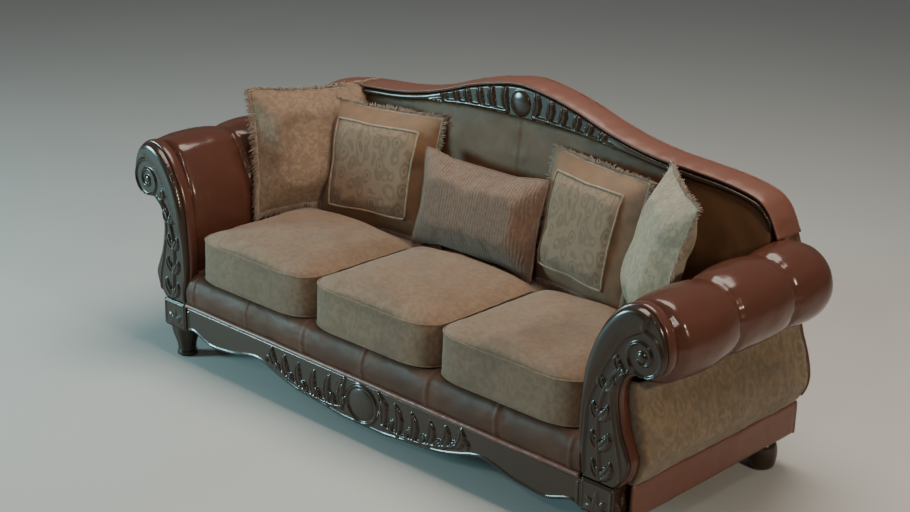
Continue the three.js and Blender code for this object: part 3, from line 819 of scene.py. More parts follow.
class SOFA_OT_apron(bpy.types.Operator):
    """Carves the front apron and lays the leather bead over it."""

    bl_idname = "sofa.apron"
    bl_label = "Carved apron"

    def execute(self, context):
        low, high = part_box("apron")

        def relief(spots, gap):
            half = np.abs(spots)
            leaves = np.maximum.reduce([
                fan(half, [(98, 100), (160, 92), (230, 94), (300, 104), (370, 122), (425, 142)],
                    6, (80, 52), (0.112, 0.066), 0.0215, 58),
                fan(half, [(130, 92), (200, 92), (270, 98), (340, 112), (400, 132)],
                    5, (78, 50), (0.050, 0.034), 0.0125, -40),
                frond(half, mm((438, 150)), 62, 0.062, -230, 0.009),
                frond(half, mm((86, 160)), 70, 0.052, -210, 0.009),
                frond(half, mm((90, 112)), 110, 0.050, 120, 0.010)])
            middle = np.hypot(spots[:, 0] / 0.066, (spots[:, 1] - 0.138) / 0.060)
            boss = np.maximum(0.9 * dome(middle / 0.9), 0.8 * bump(middle - 1.05, 0.09))
            leaves = np.where(middle < 1.2, 0.8 * boss, leaves)
            edge = 0.35 * bump(gap - 0.008, 0.0045) * (spots[:, 1] < high.z - 0.02)
            return context.scene.sofa_sizes.carving * (np.maximum(leaves, edge) - 0.45)

        shape, values = relief_plate(outline_of("apron"), low.y, high.y, relief)
        make_piece("apron_carved", shape, "carved_wood", ["apron"], **values)
        low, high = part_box("apron_welt")
        run = np.arange(low.x, high.x, 0.007)
        line = run[:, None] * [1, 0, 0] + [0, (low.y + high.y) / 2, (low.z + high.z) / 2]
        line[:, 2] += 0.0008 * waver(line, 0.25, 3)
        bead = along_line(line, (high.z - low.z) / 2, 14, seed=4)
        make_piece("apron_bead", bead, "trim_leather", ["apron_welt"], 0.9)
        return {"FINISHED"}


class SOFA_OT_crest(bpy.types.Operator):
    """Carves the crest rail along the top of the back."""

    bl_idname = "sofa.crest"
    bl_label = "Carved crest rail"

    def execute(self, context):
        low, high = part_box("crest_rail_right")

        def relief(spots, gap):
            half = np.abs(spots)
            leaves = np.maximum(
                fan(half, [(60, 972), (130, 969), (200, 965), (270, 960), (345, 952)],
                    6, (66, 50), (0.092, 0.046), 0.0190, 62),
                frond(half, mm((345, 954)), -12, 0.085, 10, 0.008))
            middle = np.hypot(spots[:, 0] / 0.044, (spots[:, 1] - 1.008) / 0.044)
            leaves = np.where(middle < 1.12, 0.95 * dome(middle), leaves)
            plain = step_up(half[:, 0], 0.34, 0.46)
            strip = 0.5 * rounded(gap, 0.012)
            return context.scene.sofa_sizes.carving * (leaves * (1 - plain) + strip * plain - 0.35)

        shape, values = relief_plate(whole(outline_of("crest_rail_right")), low.y, high.y, relief)
        make_piece("crest_carved", shape, "carved_wood", ["crest_rail_left", "crest_rail_right"],
                   **values)
        return {"FINISHED"}


BEAD_LINE = [(921, 240), (919, 300), (921, 362), (927, 450), (948, 512), (978, 577), (1002, 622),
             (1043, 685), (1101, 724)]
VOLUTE = mm((1105, 647))
FACING_BAND = ((0.4, 0), (1.2, 4), (4, 6.5), (12, 7.5), (24, 7), (34, 5), (40.2, 1))


class SOFA_OT_facings(bpy.types.Operator):
    """Carves the scrolled facings of both arms."""

    bl_idname = "sofa.facings"
    bl_label = "Carved arm facings"

    def execute(self, context):
        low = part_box("arm_facing_right")[0]
        outline, back = outline_of("arm_facing_right"), low.y + 0.020
        turn, radius = np.radians(np.linspace(95, -500, 90)), np.linspace(0.076, 0.016, 90)
        swan = curve(mm(BEAD_LINE), 0.008)
        bead = np.vstack([swan, VOLUTE + radius[:, None] * rays(turn)])
        outer = curve(mm([(1052, 240), (1050, 300), (1024, 400), (1008, 490), (1026, 560),
                          (1060, 590)]), 0.008)
        stem = [(980, 240), (972, 320), (966, 400), (974, 480), (1004, 556), (1034, 590)]

        def relief(spots, gap):
            half = np.abs(spots)
            to_bead, to_outer = nearest(bead, half)[0], nearest(outer, half)[0]
            ridge = 0.6 * np.maximum(bump(to_bead, 0.0042), 0.7 * bump(to_outer, 0.004))
            shoulder = inside(np.vstack([
                bead[:len(swan) + 2], mm([(1140, 830), (860, 830), (860, 230)])]), half)
            plump = 1.1 * rounded(gap, 0.026) * (1 - 0.55 * bump(to_bead, 0.013))
            leaves = np.maximum(
                fan(half, stem, 5, (34, 30), (0.072, 0.046), 0.0200, 66),
                fan(half, stem, 5, (140, 132), (0.060, 0.042), 0.0180, -66))
            to_volute = np.hypot(*(half - VOLUTE).T)
            leaves = np.where(to_volute < 0.078, -0.15, leaves * 0.8)
            carved = np.maximum.reduce([leaves, ridge, 0.6 * dome(to_volute / 0.017)])
            height = np.where(shoulder, np.maximum(plump, ridge), carved) - 0.6
            return context.scene.sofa_sizes.carving * 1.2 * height

        shape, values = relief_plate(outline, low.y, back, relief, edge=0.008)
        rim = relax(spaced(outline, 0.006, closed=True))
        along = np.roll(rim, -1, 0) - np.roll(rim, 1, 0)
        out = unit(np.column_stack([along[:, 1], -along[:, 0]]))
        out *= np.sign(out[rim[:, 0].argmax(), 0])
        band = loft([
            np.maximum(section(rim + out * proud / 1000, back + behind / 1000), [-9, -9, low.z])
            for behind, proud in FACING_BAND])
        for name, side in SIDES.items():
            make_piece(f"facing_carved_{name}", sided(shape, side), "carved_wood",
                       [f"arm_facing_{name}"], **values)
            make_piece(f"facing_leather_{name}", sided(band, side), "arm_leather", fill=1.0)
        return {"FINISHED"}


class SOFA_OT_feet(bpy.types.Operator):
    """Builds the carved corner blocks and feet, and the turned feet behind."""

    bl_idname = "sofa.feet"
    bl_label = "Legs and feet"

    def execute(self, context):
        low, high = (np.array(end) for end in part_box("front_leg_right"))
        low[2] = 0.121
        middle, half = (low + high) / 2, (high - low) / 2
        spots, faces, _ = shell(30, 26, 24)
        edges = (np.abs(spots) > 0.93).sum(1, keepdims=True)
        points = spots * (1 - 0.05 * np.clip(edges - 1, 0, 2)) * half + middle
        for axis, across, way in ((1, 0, -1), (0, 1, 1)):
            on = (np.abs(spots).argmax(1) == axis) & (np.sign(spots[:, axis]) == way)
            flat = spots[on][:, [across, 2]]
            border = bump(np.abs(flat).max(1) - 0.84, 0.05)
            flat = flat * half[[across, 2]]
            carved = np.maximum.reduce([
                frond(flat, (0.0, -0.040), 90 + k * 34, 0.060 - 0.008 * abs(k), k * 22, 0.011)
                for k in (-2, -1, 0, 1, 2)])
            height = context.scene.sofa_sizes.carving * 0.6 * (
                np.maximum(carved, 0.7 * border) - 0.75)
            points[on, axis] += way * height
        profile = curve(mm([(30, 0), (35, 6), (34, 16), (31, 26), (34, 48), (41, 72), (48, 96),
                            (50, 112), (50, 124)]), 0.004)
        foot = turned(np.vstack([[0.004, 0], profile]), (0.985, -0.384), 48, lobes=8)
        leg = merged([(points, faces), foot])
        for name, side in SIDES.items():
            make_piece(f"leg_carved_{name}", sided(leg, side), "carved_wood", [f"front_leg_{name}"])
        marks = np.array([(0.62, 0), (0.86, 0.08), (1, 0.36), (0.92, 0.62), (0.64, 0.78),
                          (0.66, 0.84), (0.74, 0.88), (0.7, 0.93), (0.7, 1)])
        for node in ("back_foot_left", "back_foot_right", "centre_foot"):
            low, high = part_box(node)
            profile = curve(marks * [(high.x - low.x) / 2, high.z - low.z], 0.004)
            make_piece(f"{node}_turned", turned(profile, (low + high) / 2), "carved_wood", [node])
        return {"FINISHED"}


# ---- leather ----------------------------------------------------------------------------------
ARM_RISE = [(912, 225), (912, 320), (913, 390), (915, 470), (923, 556), (943, 632), (972, 696),
            (1008, 760)]
ROLL = mm((1088, 668))
ROLL_RADIUS = 0.122
PUFF_ENDS = np.array([-0.385, -0.113, 0.159, 0.430])
ARM_FRONT, ARM_BACK, DOME_START, ARM_END = -0.3844, 0.350, 0.262, 0.427


def puffs(y):
    """How full the arm is at y, from 0 in a crease to 1, and the distance from that crease."""
    i = int(np.clip(np.searchsorted(PUFF_ENDS, y) - 1, 0, 2))
    start, end = PUFF_ENDS[i:i + 2]
    half = (end - start) / 2
    off = min(abs(y - (start + end) / 2) / half, 1)
    return 1 - off**2.6, (1 - off) * half


class SOFA_OT_arms(bpy.types.Operator):
    """Builds the rolled leather arms, each gathered into three puffs."""

    bl_idname = "sofa.arms"
    bl_label = "Rolled arms"

    def execute(self, context):
        sizes = context.scene.sofa_sizes
        rise = curve(mm(ARM_RISE), 0.011)
        over = np.radians(np.linspace(127, -90, 52))
        outer = np.vstack([rise, ROLL + ROLL_RADIUS * rays(over)])
        turn = np.concatenate([np.radians(np.linspace(270, 128, len(rise))), over])
        inner = np.vstack([
            ROLL + 0.084 * rays(np.radians(np.linspace(-90, 196, 18))),
            curve(mm([(984, 590), (966, 530), (955, 450), (952, 380), (952, 225)]), 0.03)])
        inner_turn = np.radians(np.linspace(-90, 270, len(inner)))
        fullness = np.concatenate([
            step_up(rise[:, 1], 0.44, 0.74), 1 - 0.75 * step_up(-np.degrees(over), 5, 90)])
        rows = np.concatenate([
            np.arange(ARM_FRONT, ARM_BACK, 0.006), [ARM_BACK],
            ARM_BACK + (ARM_END - ARM_BACK) * np.sin(np.linspace(0.08, math.pi / 2 - 0.03, 18))])
        for name, side in SIDES.items():
            rings = []
            for y in rows:
                full, gap = puffs(y)
                spots = np.column_stack([outer, np.full(len(outer), y)])
                rumple = waver(spots * [1, 1, 0.6], 0.07, 11 + side) * bump(gap, 0.05)
                gathers = np.sin(turn * 21 + 3 * waver(spots, 0.2, 5 + side, 1)) * bump(gap, 0.028)
                lift = (sizes.puff * (1.25 * full - 0.62) - 0.006 * bump(gap, 0.010)
                        + 0.0016 * rumple + 0.0010 * gathers) * fullness
                lift += sizes.sag * 0.5 * waver(spots, 0.26, 23 + side)
                lift -= 0.0035 * bump(y + 0.318, 0.007) * (1 - fullness)
                lift -= 0.016 * bump(y - ARM_FRONT, 0.014) * (0.35 + 0.65 * fullness)
                share = max(0, (y - DOME_START) / (ARM_END - DOME_START))
                shrink = math.sqrt(max(0, 1 - share**2.4))
                if y > ARM_BACK:
                    ring = ROLL + (shrink * (ROLL_RADIUS + lift))[:, None] * rays(turn)
                    core = ROLL + 0.4 * shrink * ROLL_RADIUS * rays(inner_turn)
                else:
                    lift -= (1 - shrink) * ROLL_RADIUS * fullness
                    ring, core = outer + left_of(outer) * lift[:, None], inner
                rings.append(section(np.vstack([ring, core]), y) * [side, 1, 1])
            skin = np.tile(np.arange(len(rings[0])) < len(outer), len(rings))
            make_piece(f"arm_leather_{name}", loft(rings), "arm_leather",
                       [f"arm_pad_{name}", f"arm_end_cap_{name}"], 0.8, skin=skin)
        return {"FINISHED"}


class SOFA_OT_border(bpy.types.Operator):
    """Builds the padded leather border under the seat cushions."""

    bl_idname = "sofa.border"
    bl_label = "Front border"

    def execute(self, context):
        low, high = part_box("seat_border")
        front = curve(mm([(-437, 227), (-440, 250), (-441, 275), (-437, 300), (-426, 322),
                          (-404, 334), (-372, 337), (-330.4, 337)]), 0.007)
        inner = mm([(-330.4, 265), (-384.5, 265), (-384.5, 222), (-425, 222)])
        shown = step_up(-front[:, 0], 0.34, 0.40)
        seams = mm([-870, -580, -290, 0, 290, 580, 870])
        rings = []
        for x in np.arange(low.x, high.x, 0.0065):
            spots = np.column_stack([front, np.full(len(front), x)])
            gap = np.abs(seams - x).min()
            lift = shown * (0.0035 - 0.0055 * bump(gap, 0.005)
                            + 0.0016 * bump(gap, 0.055) * waver(spots, 0.05, 31)
                            + context.scene.sofa_sizes.sag * 0.45 * waver(spots, 0.17, 32))
            flat = np.vstack([front - left_of(front) * lift[:, None], inner])
            rings.append(np.column_stack([np.full(len(flat), x), flat]))
        make_piece("border_leather", loft(rings), "border_leather", ["seat_border"], 0.85)
        return {"FINISHED"}


CAMELBACK = [(0, 1077), (120, 1062), (240, 1033), (360, 994), (480, 964), (600, 945), (720, 936),
             (840, 925), (930, 908), (975, 888), (1010, 850), (1040, 788)]


class SOFA_OT_back(bpy.types.Operator):
    """Builds the leather inside back and the leather band over the camelback."""

    bl_idname = "sofa.back"
    bl_label = "Leather back"

    def execute(self, context):
        sizes = context.scene.sofa_sizes
        low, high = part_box("inside_back")

        def relief(spots, gap):
            pull = bump(spots[:, 0], 0.06) * waver(spots * [1, 0.5], 0.05, 41)
            return (0.004 * step_up(gap, 0.0, 0.05) - 0.005 * bump(spots[:, 0], 0.0045)
                    + 0.0012 * pull + sizes.sag * 0.6 * waver(spots, 0.3, 42) * step_up(gap, 0, 0.06))

        shape, values = relief_plate(
            outline_of("inside_back"), low.y, low.y + 0.030, relief, 0.010, (0.095, low.z))
        # the back's leather is painted lighter than the arms, as painted light
        make_piece("back_leather", shape, "back_leather", ["inside_back"], 0.8, skin=values["skin"])

        low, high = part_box("back_cap_right")
        right = mm(CAMELBACK)
        line = curve(np.vstack([right[:0:-1] * [-1, 1], right]), 0.0075)
        up = left_of(line)
        middle, half, thick = (low.y + high.y) / 2, (high.y - low.y) / 2, 0.014
        round_band = rays(np.linspace(0, 2 * math.pi, 40, endpoint=False))
        across, rise = (np.sign(round_band) * np.abs(round_band) ** [0.55, 0.75]).T
        rings = []
        for p, n in zip(line, up):
            spot = np.column_stack([np.tile(p, (40, 1)), across * half])
            crown = 0.006 * (1 - across**2) + 0.0015 * waver(spot, 0.06, 51)
            crown += 0.35 * sizes.sag * waver(spot, 0.22, 52)
            lift = np.where(rise > 0, rise * (thick / 2 + crown), rise * thick / 2) - thick / 2
            wide = half + 0.002 + 0.0012 * waver(spot, 0.10, 53)
            rings.append(section(p + n * lift[:, None], middle + across * wide))
        make_piece("top_band", loft(rings), "trim_leather", ["back_cap_left", "back_cap_right"], 0.8)
        welts = merged([
            along_line(section(line - up * 0.0035, y), sizes.welt, seed=55)
            for y in (low.y - 0.001, high.y + 0.001)])
        make_piece("top_welts", welts, "trim_leather", fill=1.0)
        return {"FINISHED"}


class SOFA_OT_bands(bpy.types.Operator):
    """Builds the leather bands round the base."""

    bl_idname = "sofa.bands"
    bl_label = "Base bands"

    def execute(self, context):
        for node in ("side_band_left", "side_band_right", "back_band"):
            low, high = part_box(node)
            long = 0 if high.x - low.x > high.y - low.y else 1
            counts = [3, 3, 14]
            counts[long] = int((high - low)[long] / 0.012)
            spots, points, faces = block(node, *counts)
            edge, away = np.abs(spots[:, 2]), np.sign(spots[:, 1 - long])
            points[:, 1 - long] -= away * np.clip((edge - 0.86) / 0.14, 0, 1) ** 2 * 0.0035
            dents = (0.0012 * waver(points, 0.09, 61)
                     + 0.5 * context.scene.sofa_sizes.sag * waver(points, 0.4, 62))
            points[:, 1 - long] += away * dents * (edge < 0.9)
            make_piece(f"{node}_leather", (points, faces), "trim_leather", [node], 1.0)
        return {"FINISHED"}


# ---- cloth ------------------------------------------------------------------------------------
OUTSIDE_ARM = [(1064, 224.4), (1086, 259), (1104, 302), (1102, 349), (1086, 414), (1070, 453),
               (1058, 495), (1063, 540)]


class SOFA_OT_outside(bpy.types.Operator):
    """Covers the outside of the arms and the rear in woven cloth."""

    bl_idname = "sofa.outside"
    bl_label = "Outside cloth"

    def execute(self, context):
        low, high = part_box("outside_arm_right")
        front, rear, tack, thick, corner = low.y, high.y, 1.0184, 0.007, 0.010
        bend = rays(np.linspace(0, math.pi / 2, 5))
        for name, side in SIDES.items():
            rings = []
            for x, z in curve(mm(OUTSIDE_ARM), 0.012):
                out = np.vstack([
                    [(tack, front)], [x - corner, front + corner] + corner * bend[:, ::-1] * [1, -1],
                    np.column_stack([np.full(80, x), np.linspace(front + 0.02, rear, 80)])])
                spots = np.column_stack([out, np.full(len(out), z)])
                out[:, 0] += step_up(out[:, 1], front + 0.02, front + 0.06) * (
                    0.0022 * waver(spots, 0.16, 71 + side)
                    + 0.0014 * waver(spots * [1, 2.5, 0.6], 0.10, 73))
                back = np.maximum(out[::-1] - [thick, 0], [tack - 0.001, front + thick])
                flat = np.vstack([out, back])
                rings.append(np.column_stack([side * flat[:, 0], flat[:, 1], np.full(len(flat), z)]))
            make_piece(
                f"arm_cloth_{name}", loft(rings), "outside_cloth", [f"outside_arm_{name}"], 0.9)

        low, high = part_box("outside_back")
        face, lean, foot = high.y, -0.034, low.z

        def relief(spots, gap):
            return (0.003 * step_up(gap, 0, 0.04)
                    + 0.0024 * waver(spots * [1, 0.6], 0.35, 75) * step_up(gap, 0, 0.05))

        outline = outline_of("outside_back", 1)
        shape, _ = relief_plate(
            outline, face - 0.003, face - 0.009, relief, 0.012, (lean, foot), facing=1)
        make_piece("rear_cloth", shape, "outside_cloth", ["outside_back"], 0.9)
        edge = relax(spaced(outline, 0.012, closed=True))
        edge = np.roll(edge, -int(np.argmin(edge[:, 0] + 3 * edge[:, 1])), axis=0)
        edge = edge[edge[:, 1] > foot + 0.02]
        breaks = np.flatnonzero(np.linalg.norm(np.diff(edge, axis=0), axis=1) > 0.1)
        edge = np.roll(edge, -(breaks[0] + 1), axis=0) if len(breaks) else edge
        line = section(edge, face - 0.003 + lean * (edge[:, 1] - foot))
        welt = along_line(line, context.scene.sofa_sizes.welt, seed=76)
        make_piece("rear_welt", welt, "trim_leather", fill=1.0)
        for name, side in SIDES.items():
            rim = edge[(edge[:, 0] * side > 0.9) & (edge[:, 1] > 0.50) & (edge[:, 1] < 0.80)]
            rings = []
            for x, z in rim[np.argsort(rim[:, 1])]:
                rear = face + lean * (z - foot) - 0.010
                across = side * (abs(x) - np.array([0.004, 0.004, 0.030, 0.030]))
                rings.append(np.column_stack([across, [rear, 0.352, 0.352, rear], [z] * 4]))
            make_piece(f"rear_gusset_{name}", loft(rings), "trim_leather", fill=1.0)
        return {"FINISHED"}


SEAM_HEIGHT = 0.476
BOW, TURN, REAR_CORNER = 0.125, 0.095, 0.03
COLUMNS, BENDS, RUNS, LEVELS = 40, 12, 32, 10


class SOFA_OT_cushions(bpy.types.Operator):
    """Builds the three boxed seat cushions and the deck under them."""

    bl_idname = "sofa.cushions"
    bl_label = "Seat cushions"

    def execute(self, context):
        spots, points, faces = block("seat_deck", 60, 24, 3)
        top = spots[:, 2] > 0.9
        points[top, 2] -= 0.006 * (0.5 + 0.5 * waver(points[top], 0.3, 81))
        make_piece("deck_cloth", (points, faces), "lining", ["seat_deck"], 0.8)
        for i, name in enumerate(("left", "centre", "right")):
            self.cushion(f"seat_cushion_{name}", 90 + i, context.scene.sofa_sizes)
        return {"FINISHED"}

    def cushion(self, node, seed, sizes):
        low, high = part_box(node)
        middle, half = (low.x + high.x) / 2, (high.x - low.x) / 2
        centre = [middle, (low.y + high.y) / 2]
        t = np.linspace(0, 1, BENDS + 1)
        edge_y = low.y + TURN * ((1 - t) ** 2 + 2 * t * (1 - t) * 0.09)[::-1]
        back_t = np.linspace(0, 1, RUNS + 1)[1:]
        ys = np.concatenate([edge_y, low.y + TURN + (high.y - low.y - TURN) * back_t])
        xs = np.concatenate([half - BOW * (t**2)[::-1], np.full(RUNS, half)])
        xs -= REAR_CORNER * np.clip(1 - (high.y - ys) / REAR_CORNER, 0, 1) ** 2
        spots, faces, index = shell(COLUMNS, BENDS + RUNS, LEVELS)
        u, v = spots[:, 0], spots[:, 1]
        row = np.rint((v + 1) / 2 * (BENDS + RUNS)).astype(int)
        points = np.column_stack([
            middle + u * xs[row], ys[row],
            low.z + (spots[:, 2] + 1) / 2 * (SEAM_HEIGHT - low.z)])
        crowned = np.clip((1 - u**4) * (1 - v**4), 0, 1) ** 0.5
        top, foot = spots[:, 2] > 0.99, spots[:, 2] < -0.99
        points[top, 2] += 0.45 * sizes.crown * crowned[top]
        piece = make_piece(f"{node}_cloth", (points, faces), "seat_cloth", [node], 0.75)
        swollen = swell(piece, 4.0, 0.024, 0.01, np.flatnonzero(foot))
        points += (swollen - points) * [0.25, 0.25, 0.5]
        points[:, 0] = np.clip(points[:, 0], low.x - 0.002, high.x + 0.002)
        points[:, 1] = np.clip(points[:, 1], low.y - 0.006, high.y + 0.004)
        bulge = np.clip((1 - np.abs(u) ** 2.3) * (1 - np.abs(v) ** 3), 0, 1) ** 0.7
        rise = (points[:, 2] - SEAM_HEIGHT) / (points[:, 2].max() - SEAM_HEIGHT)
        points[top, 2] = SEAM_HEIGHT + sizes.crown * (0.35 * rise + 0.65 * bulge)[top]
        points[top, 2] -= crowned[top] * sizes.sag * (0.5 + waver(points[top], 0.24, seed))
        rim_gap = np.minimum((1 - np.abs(u)) * half, (1 - np.abs(v)) * 0.33)
        pucker = np.sin((points[:, 0] + points[:, 1]) * 150 + 4 * waver(points, 0.1, seed + 3))
        points[top, 2] += 0.0013 * (pucker * bump(rim_gap, 0.03))[top]
        sides = ~top & ~foot
        dents = 0.001 + 0.001 * waver(points[sides] * [1, 1, 2], 0.12, seed + 5)
        points[sides, :2] -= unit(points[sides, :2] - centre) * dents[:, None]
        rims = [rim_of(index, COLUMNS, BENDS + RUNS, level) for level in (0, LEVELS)]
        for rim in rims:
            points[rim, :2] -= unit(points[rim, :2] - centre) * 0.0015
        tall = np.clip((points[:, 2] - low.z) / (SEAM_HEIGHT - low.z), 0, 1)
        points[:, 2] -= 0.046 * tall * step_up(points[:, 1], 0.045, 0.150)
        points[:, 2] = np.maximum(points[:, 2], low.z)
        move_points(piece, points)
        refine(piece)
        welts = merged([
            along_line(spaced(points[rim] + [0, 0, lift], 0.008, closed=True),
                       sizes.welt * 0.85, closed=True, seed=seed + 9)
            for rim, lift in ((rims[1], 0.001), (rims[0], 0.002))])
        make_piece(f"{node}_welts", welts, "seat_cloth", fill=1.0)


# where the foot of each pillow is, its yaw and lean in degrees, its width, depth and height, how
# much it flares, its cloth and how full it is
PILLOWS = {
    "lumbar_pillow": (
        (-0.066, 0.126, 0.478), 0, 13, (0.560, 0.125, 0.335), 0, "pleat_cloth", 0.6),
    "framed_pillow_left": (
        (-0.569, 0.134, 0.466), 12, 14, (0.446, 0.12, 0.432), 0.08, "framed_cloth", 0.75),
    "framed_pillow_right": (
        (0.372, 0.156, 0.466), -11, 13, (0.440, 0.12, 0.432), 0.05, "framed_cloth", 0.75),
    "corner_pillow_left": (
        (-0.786, 0.092, 0.506), 64, 13, (0.462, 0.11, 0.438), 0, "corner_cloth", 0.7),
    # this pillow's cloth is the seat cloth painted paler, as painted light
    "corner_pillow_right": (
        (0.705, 0.040, 0.506), -43, 17, (0.440, 0.12, 0.450), 0, "pale_cloth", 0.7),
}
PANEL_INSET = 5


class SOFA_OT_pillows(bpy.types.Operator):
    """Builds the five pillows, each pressed against what it leans on."""

    bl_idname = "sofa.pillows"
    bl_label = "Scatter pillows"

    def execute(self, context):
        names = ["back_leather", "crest_carved", "arm_leather_left", "arm_leather_right"]
        names += [f"seat_cushion_{place}_cloth" for place in ("left", "centre", "right")]
        missing = [n for n in names if n not in bpy.data.objects]
        if missing:
            raise RuntimeError(f"build these first: {missing}")
        trees = [surface_of(bpy.data.objects[n]) for n in names]
        for k, (node, facts) in enumerate(PILLOWS.items()):
            piece = self.pillow(node, facts, 200 + 10 * k, trees, context.scene.sofa_sizes.fringe)
            trees.append(surface_of(piece))
        return {"FINISHED"}

    def pillow(self, node, facts, seed, trees, yarn):
        at, yaw, lean, size, flare, look, fill = facts
        pleated, framed = look == "pleat_cloth", look == "framed_cloth"
        nu, nv = (60, 32) if pleated else (36, 36)
        spots, faces, index = shell(nu, nv, 2)
        u, v = spots[:, 0], spots[:, 1]
        plump = size[1] / 2 * np.sqrt(np.clip((1 - u**4) * (1 - v**4), 0, 1))
        start = np.column_stack([
            u * size[0] / 2, -spots[:, 2] * (0.002 + 0.35 * plump), v * size[2] / 2])
        place = (Matrix.Translation(at) @ Matrix.Rotation(math.radians(yaw), 4, "Z")
                 @ Matrix.Rotation(math.radians(-lean), 4, "X"))
        piece = make_piece(
            f"{node}_cloth", (start, faces), look, out=np.maximum(np.abs(u), np.abs(v)))
        flow = 0.12 if framed else 0.3
        points = start + (swell(piece, 6.0, 0.07, 0.03) - start) * [flow, 1, flow]
        points[:, 1] -= points[:, 1].mean()
        points *= size / np.ptp(points, axis=0)
        points[:, 0] *= 1 + flare * (v + 1) / 2
        points[:, 2] += size[2] / 2
        turn, foot = np.array(place)[:3, :3], np.array(place)[:3, 3]
        world = points @ turn.T + foot
        world[:, 2] -= 0.012 * bump(1 - np.abs(u), 0.12) * (v < 0)
        pairs = np.array([e.vertices[:] for e in piece.data.edges])
        for _ in range(2):
            world += soften(pairs, press(world, trees) - world, 3)
        world = press(world, trees)
        bpy.context.view_layer.update()
        piece.matrix_world = place
        move_points(piece, (world - foot) @ turn)
        seam = world[rim_of(index, nu, nv, 1)]
        if framed:
            ring = rim_of(index, nu, nv, 2, PANEL_INSET)
            out = normals_of(piece)[ring] @ turn.T
            line = relax(spaced(world[ring] + out * 0.002, 0.006, closed=True), 8)
            make_piece(f"{node}_cord", along_line(line, 0.0038, 8, True, seed), "pale_cord", fill=1.0)
        if pleated:
            edging, thread = along_line(spaced(seam, 0.007, closed=True), 0.003, 8, True, seed), look
        else:
            edging, thread = self.fringe(seam, turn[:, 1], yarn, seed), "fringe_yarn"
        make_piece(f"{node}_edging", edging, thread, fill=0.5, slot=FINISHES[look][0])
        refine(piece)
        if pleated:
            self.pleat(piece)
        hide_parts(node)
        return piece

    def pleat(self, piece):
        """Presses fine upright pleats into the pillow's cover."""
        refine(piece)
        points = np.array([v.co for v in piece.data.vertices])
        x = points[:, 0] + 0.003 * waver(points[:, [0, 2]], 0.12, 301)
        ridge = np.abs(np.sin(math.pi * x / 0.0115)) - 0.5
        lift = ridge * 0.0022 * step_up(0.27 - np.abs(points[:, 0]), 0.0, 0.02)
        move_points(piece, points + normals_of(piece) * lift[:, None])

    def fringe(self, seam, face, length, seed):
        """Short yarns that stand out all round a seam and hang a little."""
        random = np.random.default_rng(seed)
        line = spaced(seam, 0.0017, closed=True)
        middle = line.mean(0)
        t = np.array([0, 0.4, 0.75, 1])[:, None]
        parts = [along_line(spaced(seam, 0.007, closed=True), 0.0030, 6, True, seed)]
        for p in line:
            out = p - middle
            out -= face * (out @ face)
            out = out / np.linalg.norm(out) + random.normal(0, 0.13, 3)
            reach = length * random.uniform(0.7, 1.15)
            yarn = p + out * reach * t + np.array([0, 0, -0.35]) * reach * t**2
            yarn += face * reach * random.normal(0, 0.15) * t
            parts.append(along_line(yarn, 0.0013, 3))
        return merged(parts)


class SOFA_OT_hidden(bpy.types.Operator):
    """Covers the underside and gives the frame inside its finishes."""

    bl_idname = "sofa.hidden"
    bl_label = "Underside and frame"

    def execute(self, context):
        spots, points, faces = block("dust_cover", 90, 36, 1)
        sag = np.clip((1 - spots[:, 0] ** 2) * (1 - spots[:, 1] ** 2), 0, 1)
        points[:, 2] -= 0.005 * sag * (0.7 + 0.5 * waver(points[:, :2], 0.3, 401))
        points[:, 2] += 0.005 * bump(np.hypot(points[:, 0], points[:, 1]), 0.12)
        cover = make_piece("under_cloth", (points, faces), "lining", ["dust_cover"])
        for name, node in frame["nodes"].items():
            if not node.hide_render:
                made = finish("spring_steel" if name.startswith("seat_spring") else "frame_wood")
                node.data.materials.clear()
                node.data.materials.append(made)
        return {"FINISHED"}


# ---- stage ------------------------------------------------------------------------------------
# where each lamp is, its width in metres, its power and its tint
LAMPS = {
    "cool_window": ((-4.1, -3.7, 1.4), 1.4, 275, (0.47, 0.92, 1.0)),
    "warm_lamp": ((4.6, -0.6, 2.6), 0.28, 70, (1.0, 0.84, 0.62)),
    "small_lamp": ((2.6, -4.6, 3.6), 0.22, 30, (1.0, 0.93, 0.84)),
    "overhead": ((0.3, 0.5, 4.4), 3.0, 175, (1.0, 0.91, 0.80)),
}
LAMPS_FACE = Vector((0, 0, 0.5))
FLOOR_RISE = ((0.2, 0), (4, 0), (8, 0), (12, 0), (15, 0.5), (17, 3), (17.5, 8))


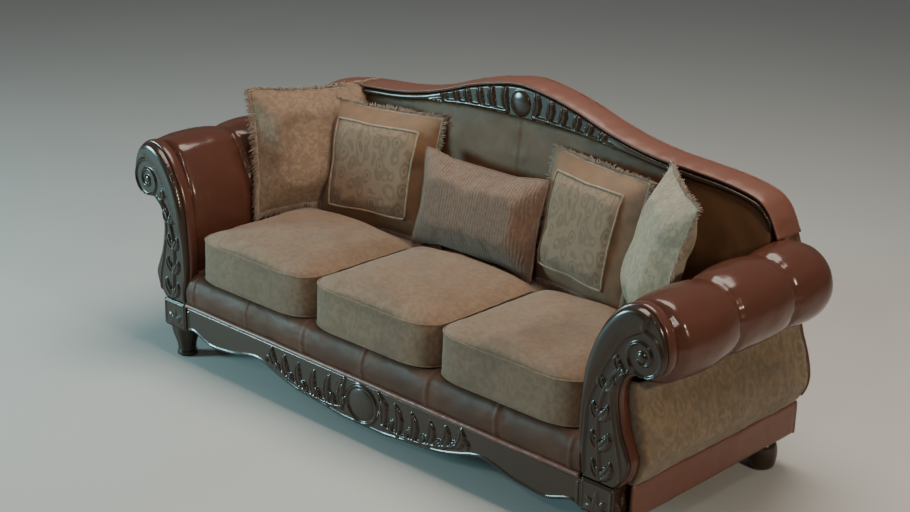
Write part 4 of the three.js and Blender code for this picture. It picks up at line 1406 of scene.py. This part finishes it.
class SOFA_OT_stage(bpy.types.Operator):
    """Sets up the pale floor, the soft lights and the camera."""

    bl_idname = "sofa.stage"
    bl_label = "Stage"

    def execute(self, context):
        scene = context.scene
        around = rays(np.linspace(0, 2 * math.pi, 72, endpoint=False))
        points, faces = loft([
            np.column_stack([r * around, np.full(72, z)]) for r, z in curve(FLOOR_RISE, 0.8)])
        mesh = bpy.data.meshes.new("floor")
        mesh.from_pydata(points.tolist(), [], faces[:-1])
        mesh.polygons.foreach_set("use_smooth", [True] * len(mesh.polygons))
        mesh.materials.append(finish("studio_floor"))
        floor = bpy.data.objects.new("floor", mesh)
        scene.collection.objects.link(floor)
        for name, (at, size, power, tint) in LAMPS.items():
            lamp = bpy.data.lights.new(name, "AREA")
            lamp.shape, lamp.size, lamp.energy, lamp.color = "DISK", size, power, tint
            stand = bpy.data.objects.new(name, lamp)
            stand.location = at
            stand.rotation_euler = (LAMPS_FACE - Vector(at)).to_track_quat("-Z", "Y").to_euler()
            scene.collection.objects.link(stand)
        scene.world = scene.world or bpy.data.worlds.new("studio")
        scene.world.use_nodes = True
        sky = scene.world.node_tree.nodes["Background"].inputs
        sky["Color"].default_value = (0.92, 0.94, 0.96, 1)
        sky["Strength"].default_value = 0.17
        camera = bpy.data.objects.new("camera", bpy.data.cameras.new("camera"))
        camera.data.sensor_width, camera.data.lens = 36, 65.96
        right = Vector((0.71989, 0.69389, 0.01660))
        up = Vector((-0.24665, 0.23340, 0.94058))
        back = Vector((0.64878, -0.68121, 0.33917))
        turned_to = Matrix((right, up, back)).transposed().to_4x4()
        camera.matrix_world = Matrix.Translation((3.58016, -3.77204, 2.41391)) @ turned_to
        scene.collection.objects.link(camera)
        scene.camera = camera
        return {"FINISHED"}


# ---- add-on -----------------------------------------------------------------------------------
OPERATORS = (
    SOFA_OT_stage, SOFA_OT_apron, SOFA_OT_crest, SOFA_OT_facings, SOFA_OT_feet, SOFA_OT_arms,
    SOFA_OT_border, SOFA_OT_back, SOFA_OT_bands, SOFA_OT_outside, SOFA_OT_cushions,
    SOFA_OT_pillows, SOFA_OT_hidden)


class SOFA_PT_sidebar(bpy.types.Panel):
    """The sofa's settings and pieces."""

    bl_idname = "SOFA_PT_sidebar"
    bl_label = "Camelback sofa"
    bl_space_type = "VIEW_3D"
    bl_region_type = "UI"
    bl_category = "Sofa"

    def draw(self, context):
        for group in (context.scene.sofa_sizes, context.scene.sofa_colours):
            for name in group.__annotations__:
                self.layout.prop(group, name)
        for operator in OPERATORS:
            self.layout.operator(operator.bl_idname)


CLASSES = (SofaSizes, SofaColours, *OPERATORS, SOFA_PT_sidebar)


def register():
    for made in CLASSES:
        bpy.utils.register_class(made)
    bpy.types.Scene.sofa_sizes = PointerProperty(type=SofaSizes)
    bpy.types.Scene.sofa_colours = PointerProperty(type=SofaColours)


def unregister():
    del bpy.types.Scene.sofa_colours
    del bpy.types.Scene.sofa_sizes
    for made in reversed(CLASSES):
        bpy.utils.unregister_class(made)


def main():
    """Builds the whole sofa on its stage."""
    register()
    for operator in OPERATORS:
        group, name = operator.bl_idname.split(".")
        if getattr(getattr(bpy.ops, group), name)() != {"FINISHED"}:
            raise RuntimeError(f"{operator.bl_idname} did not finish")


if __name__ == "__main__":
    main()
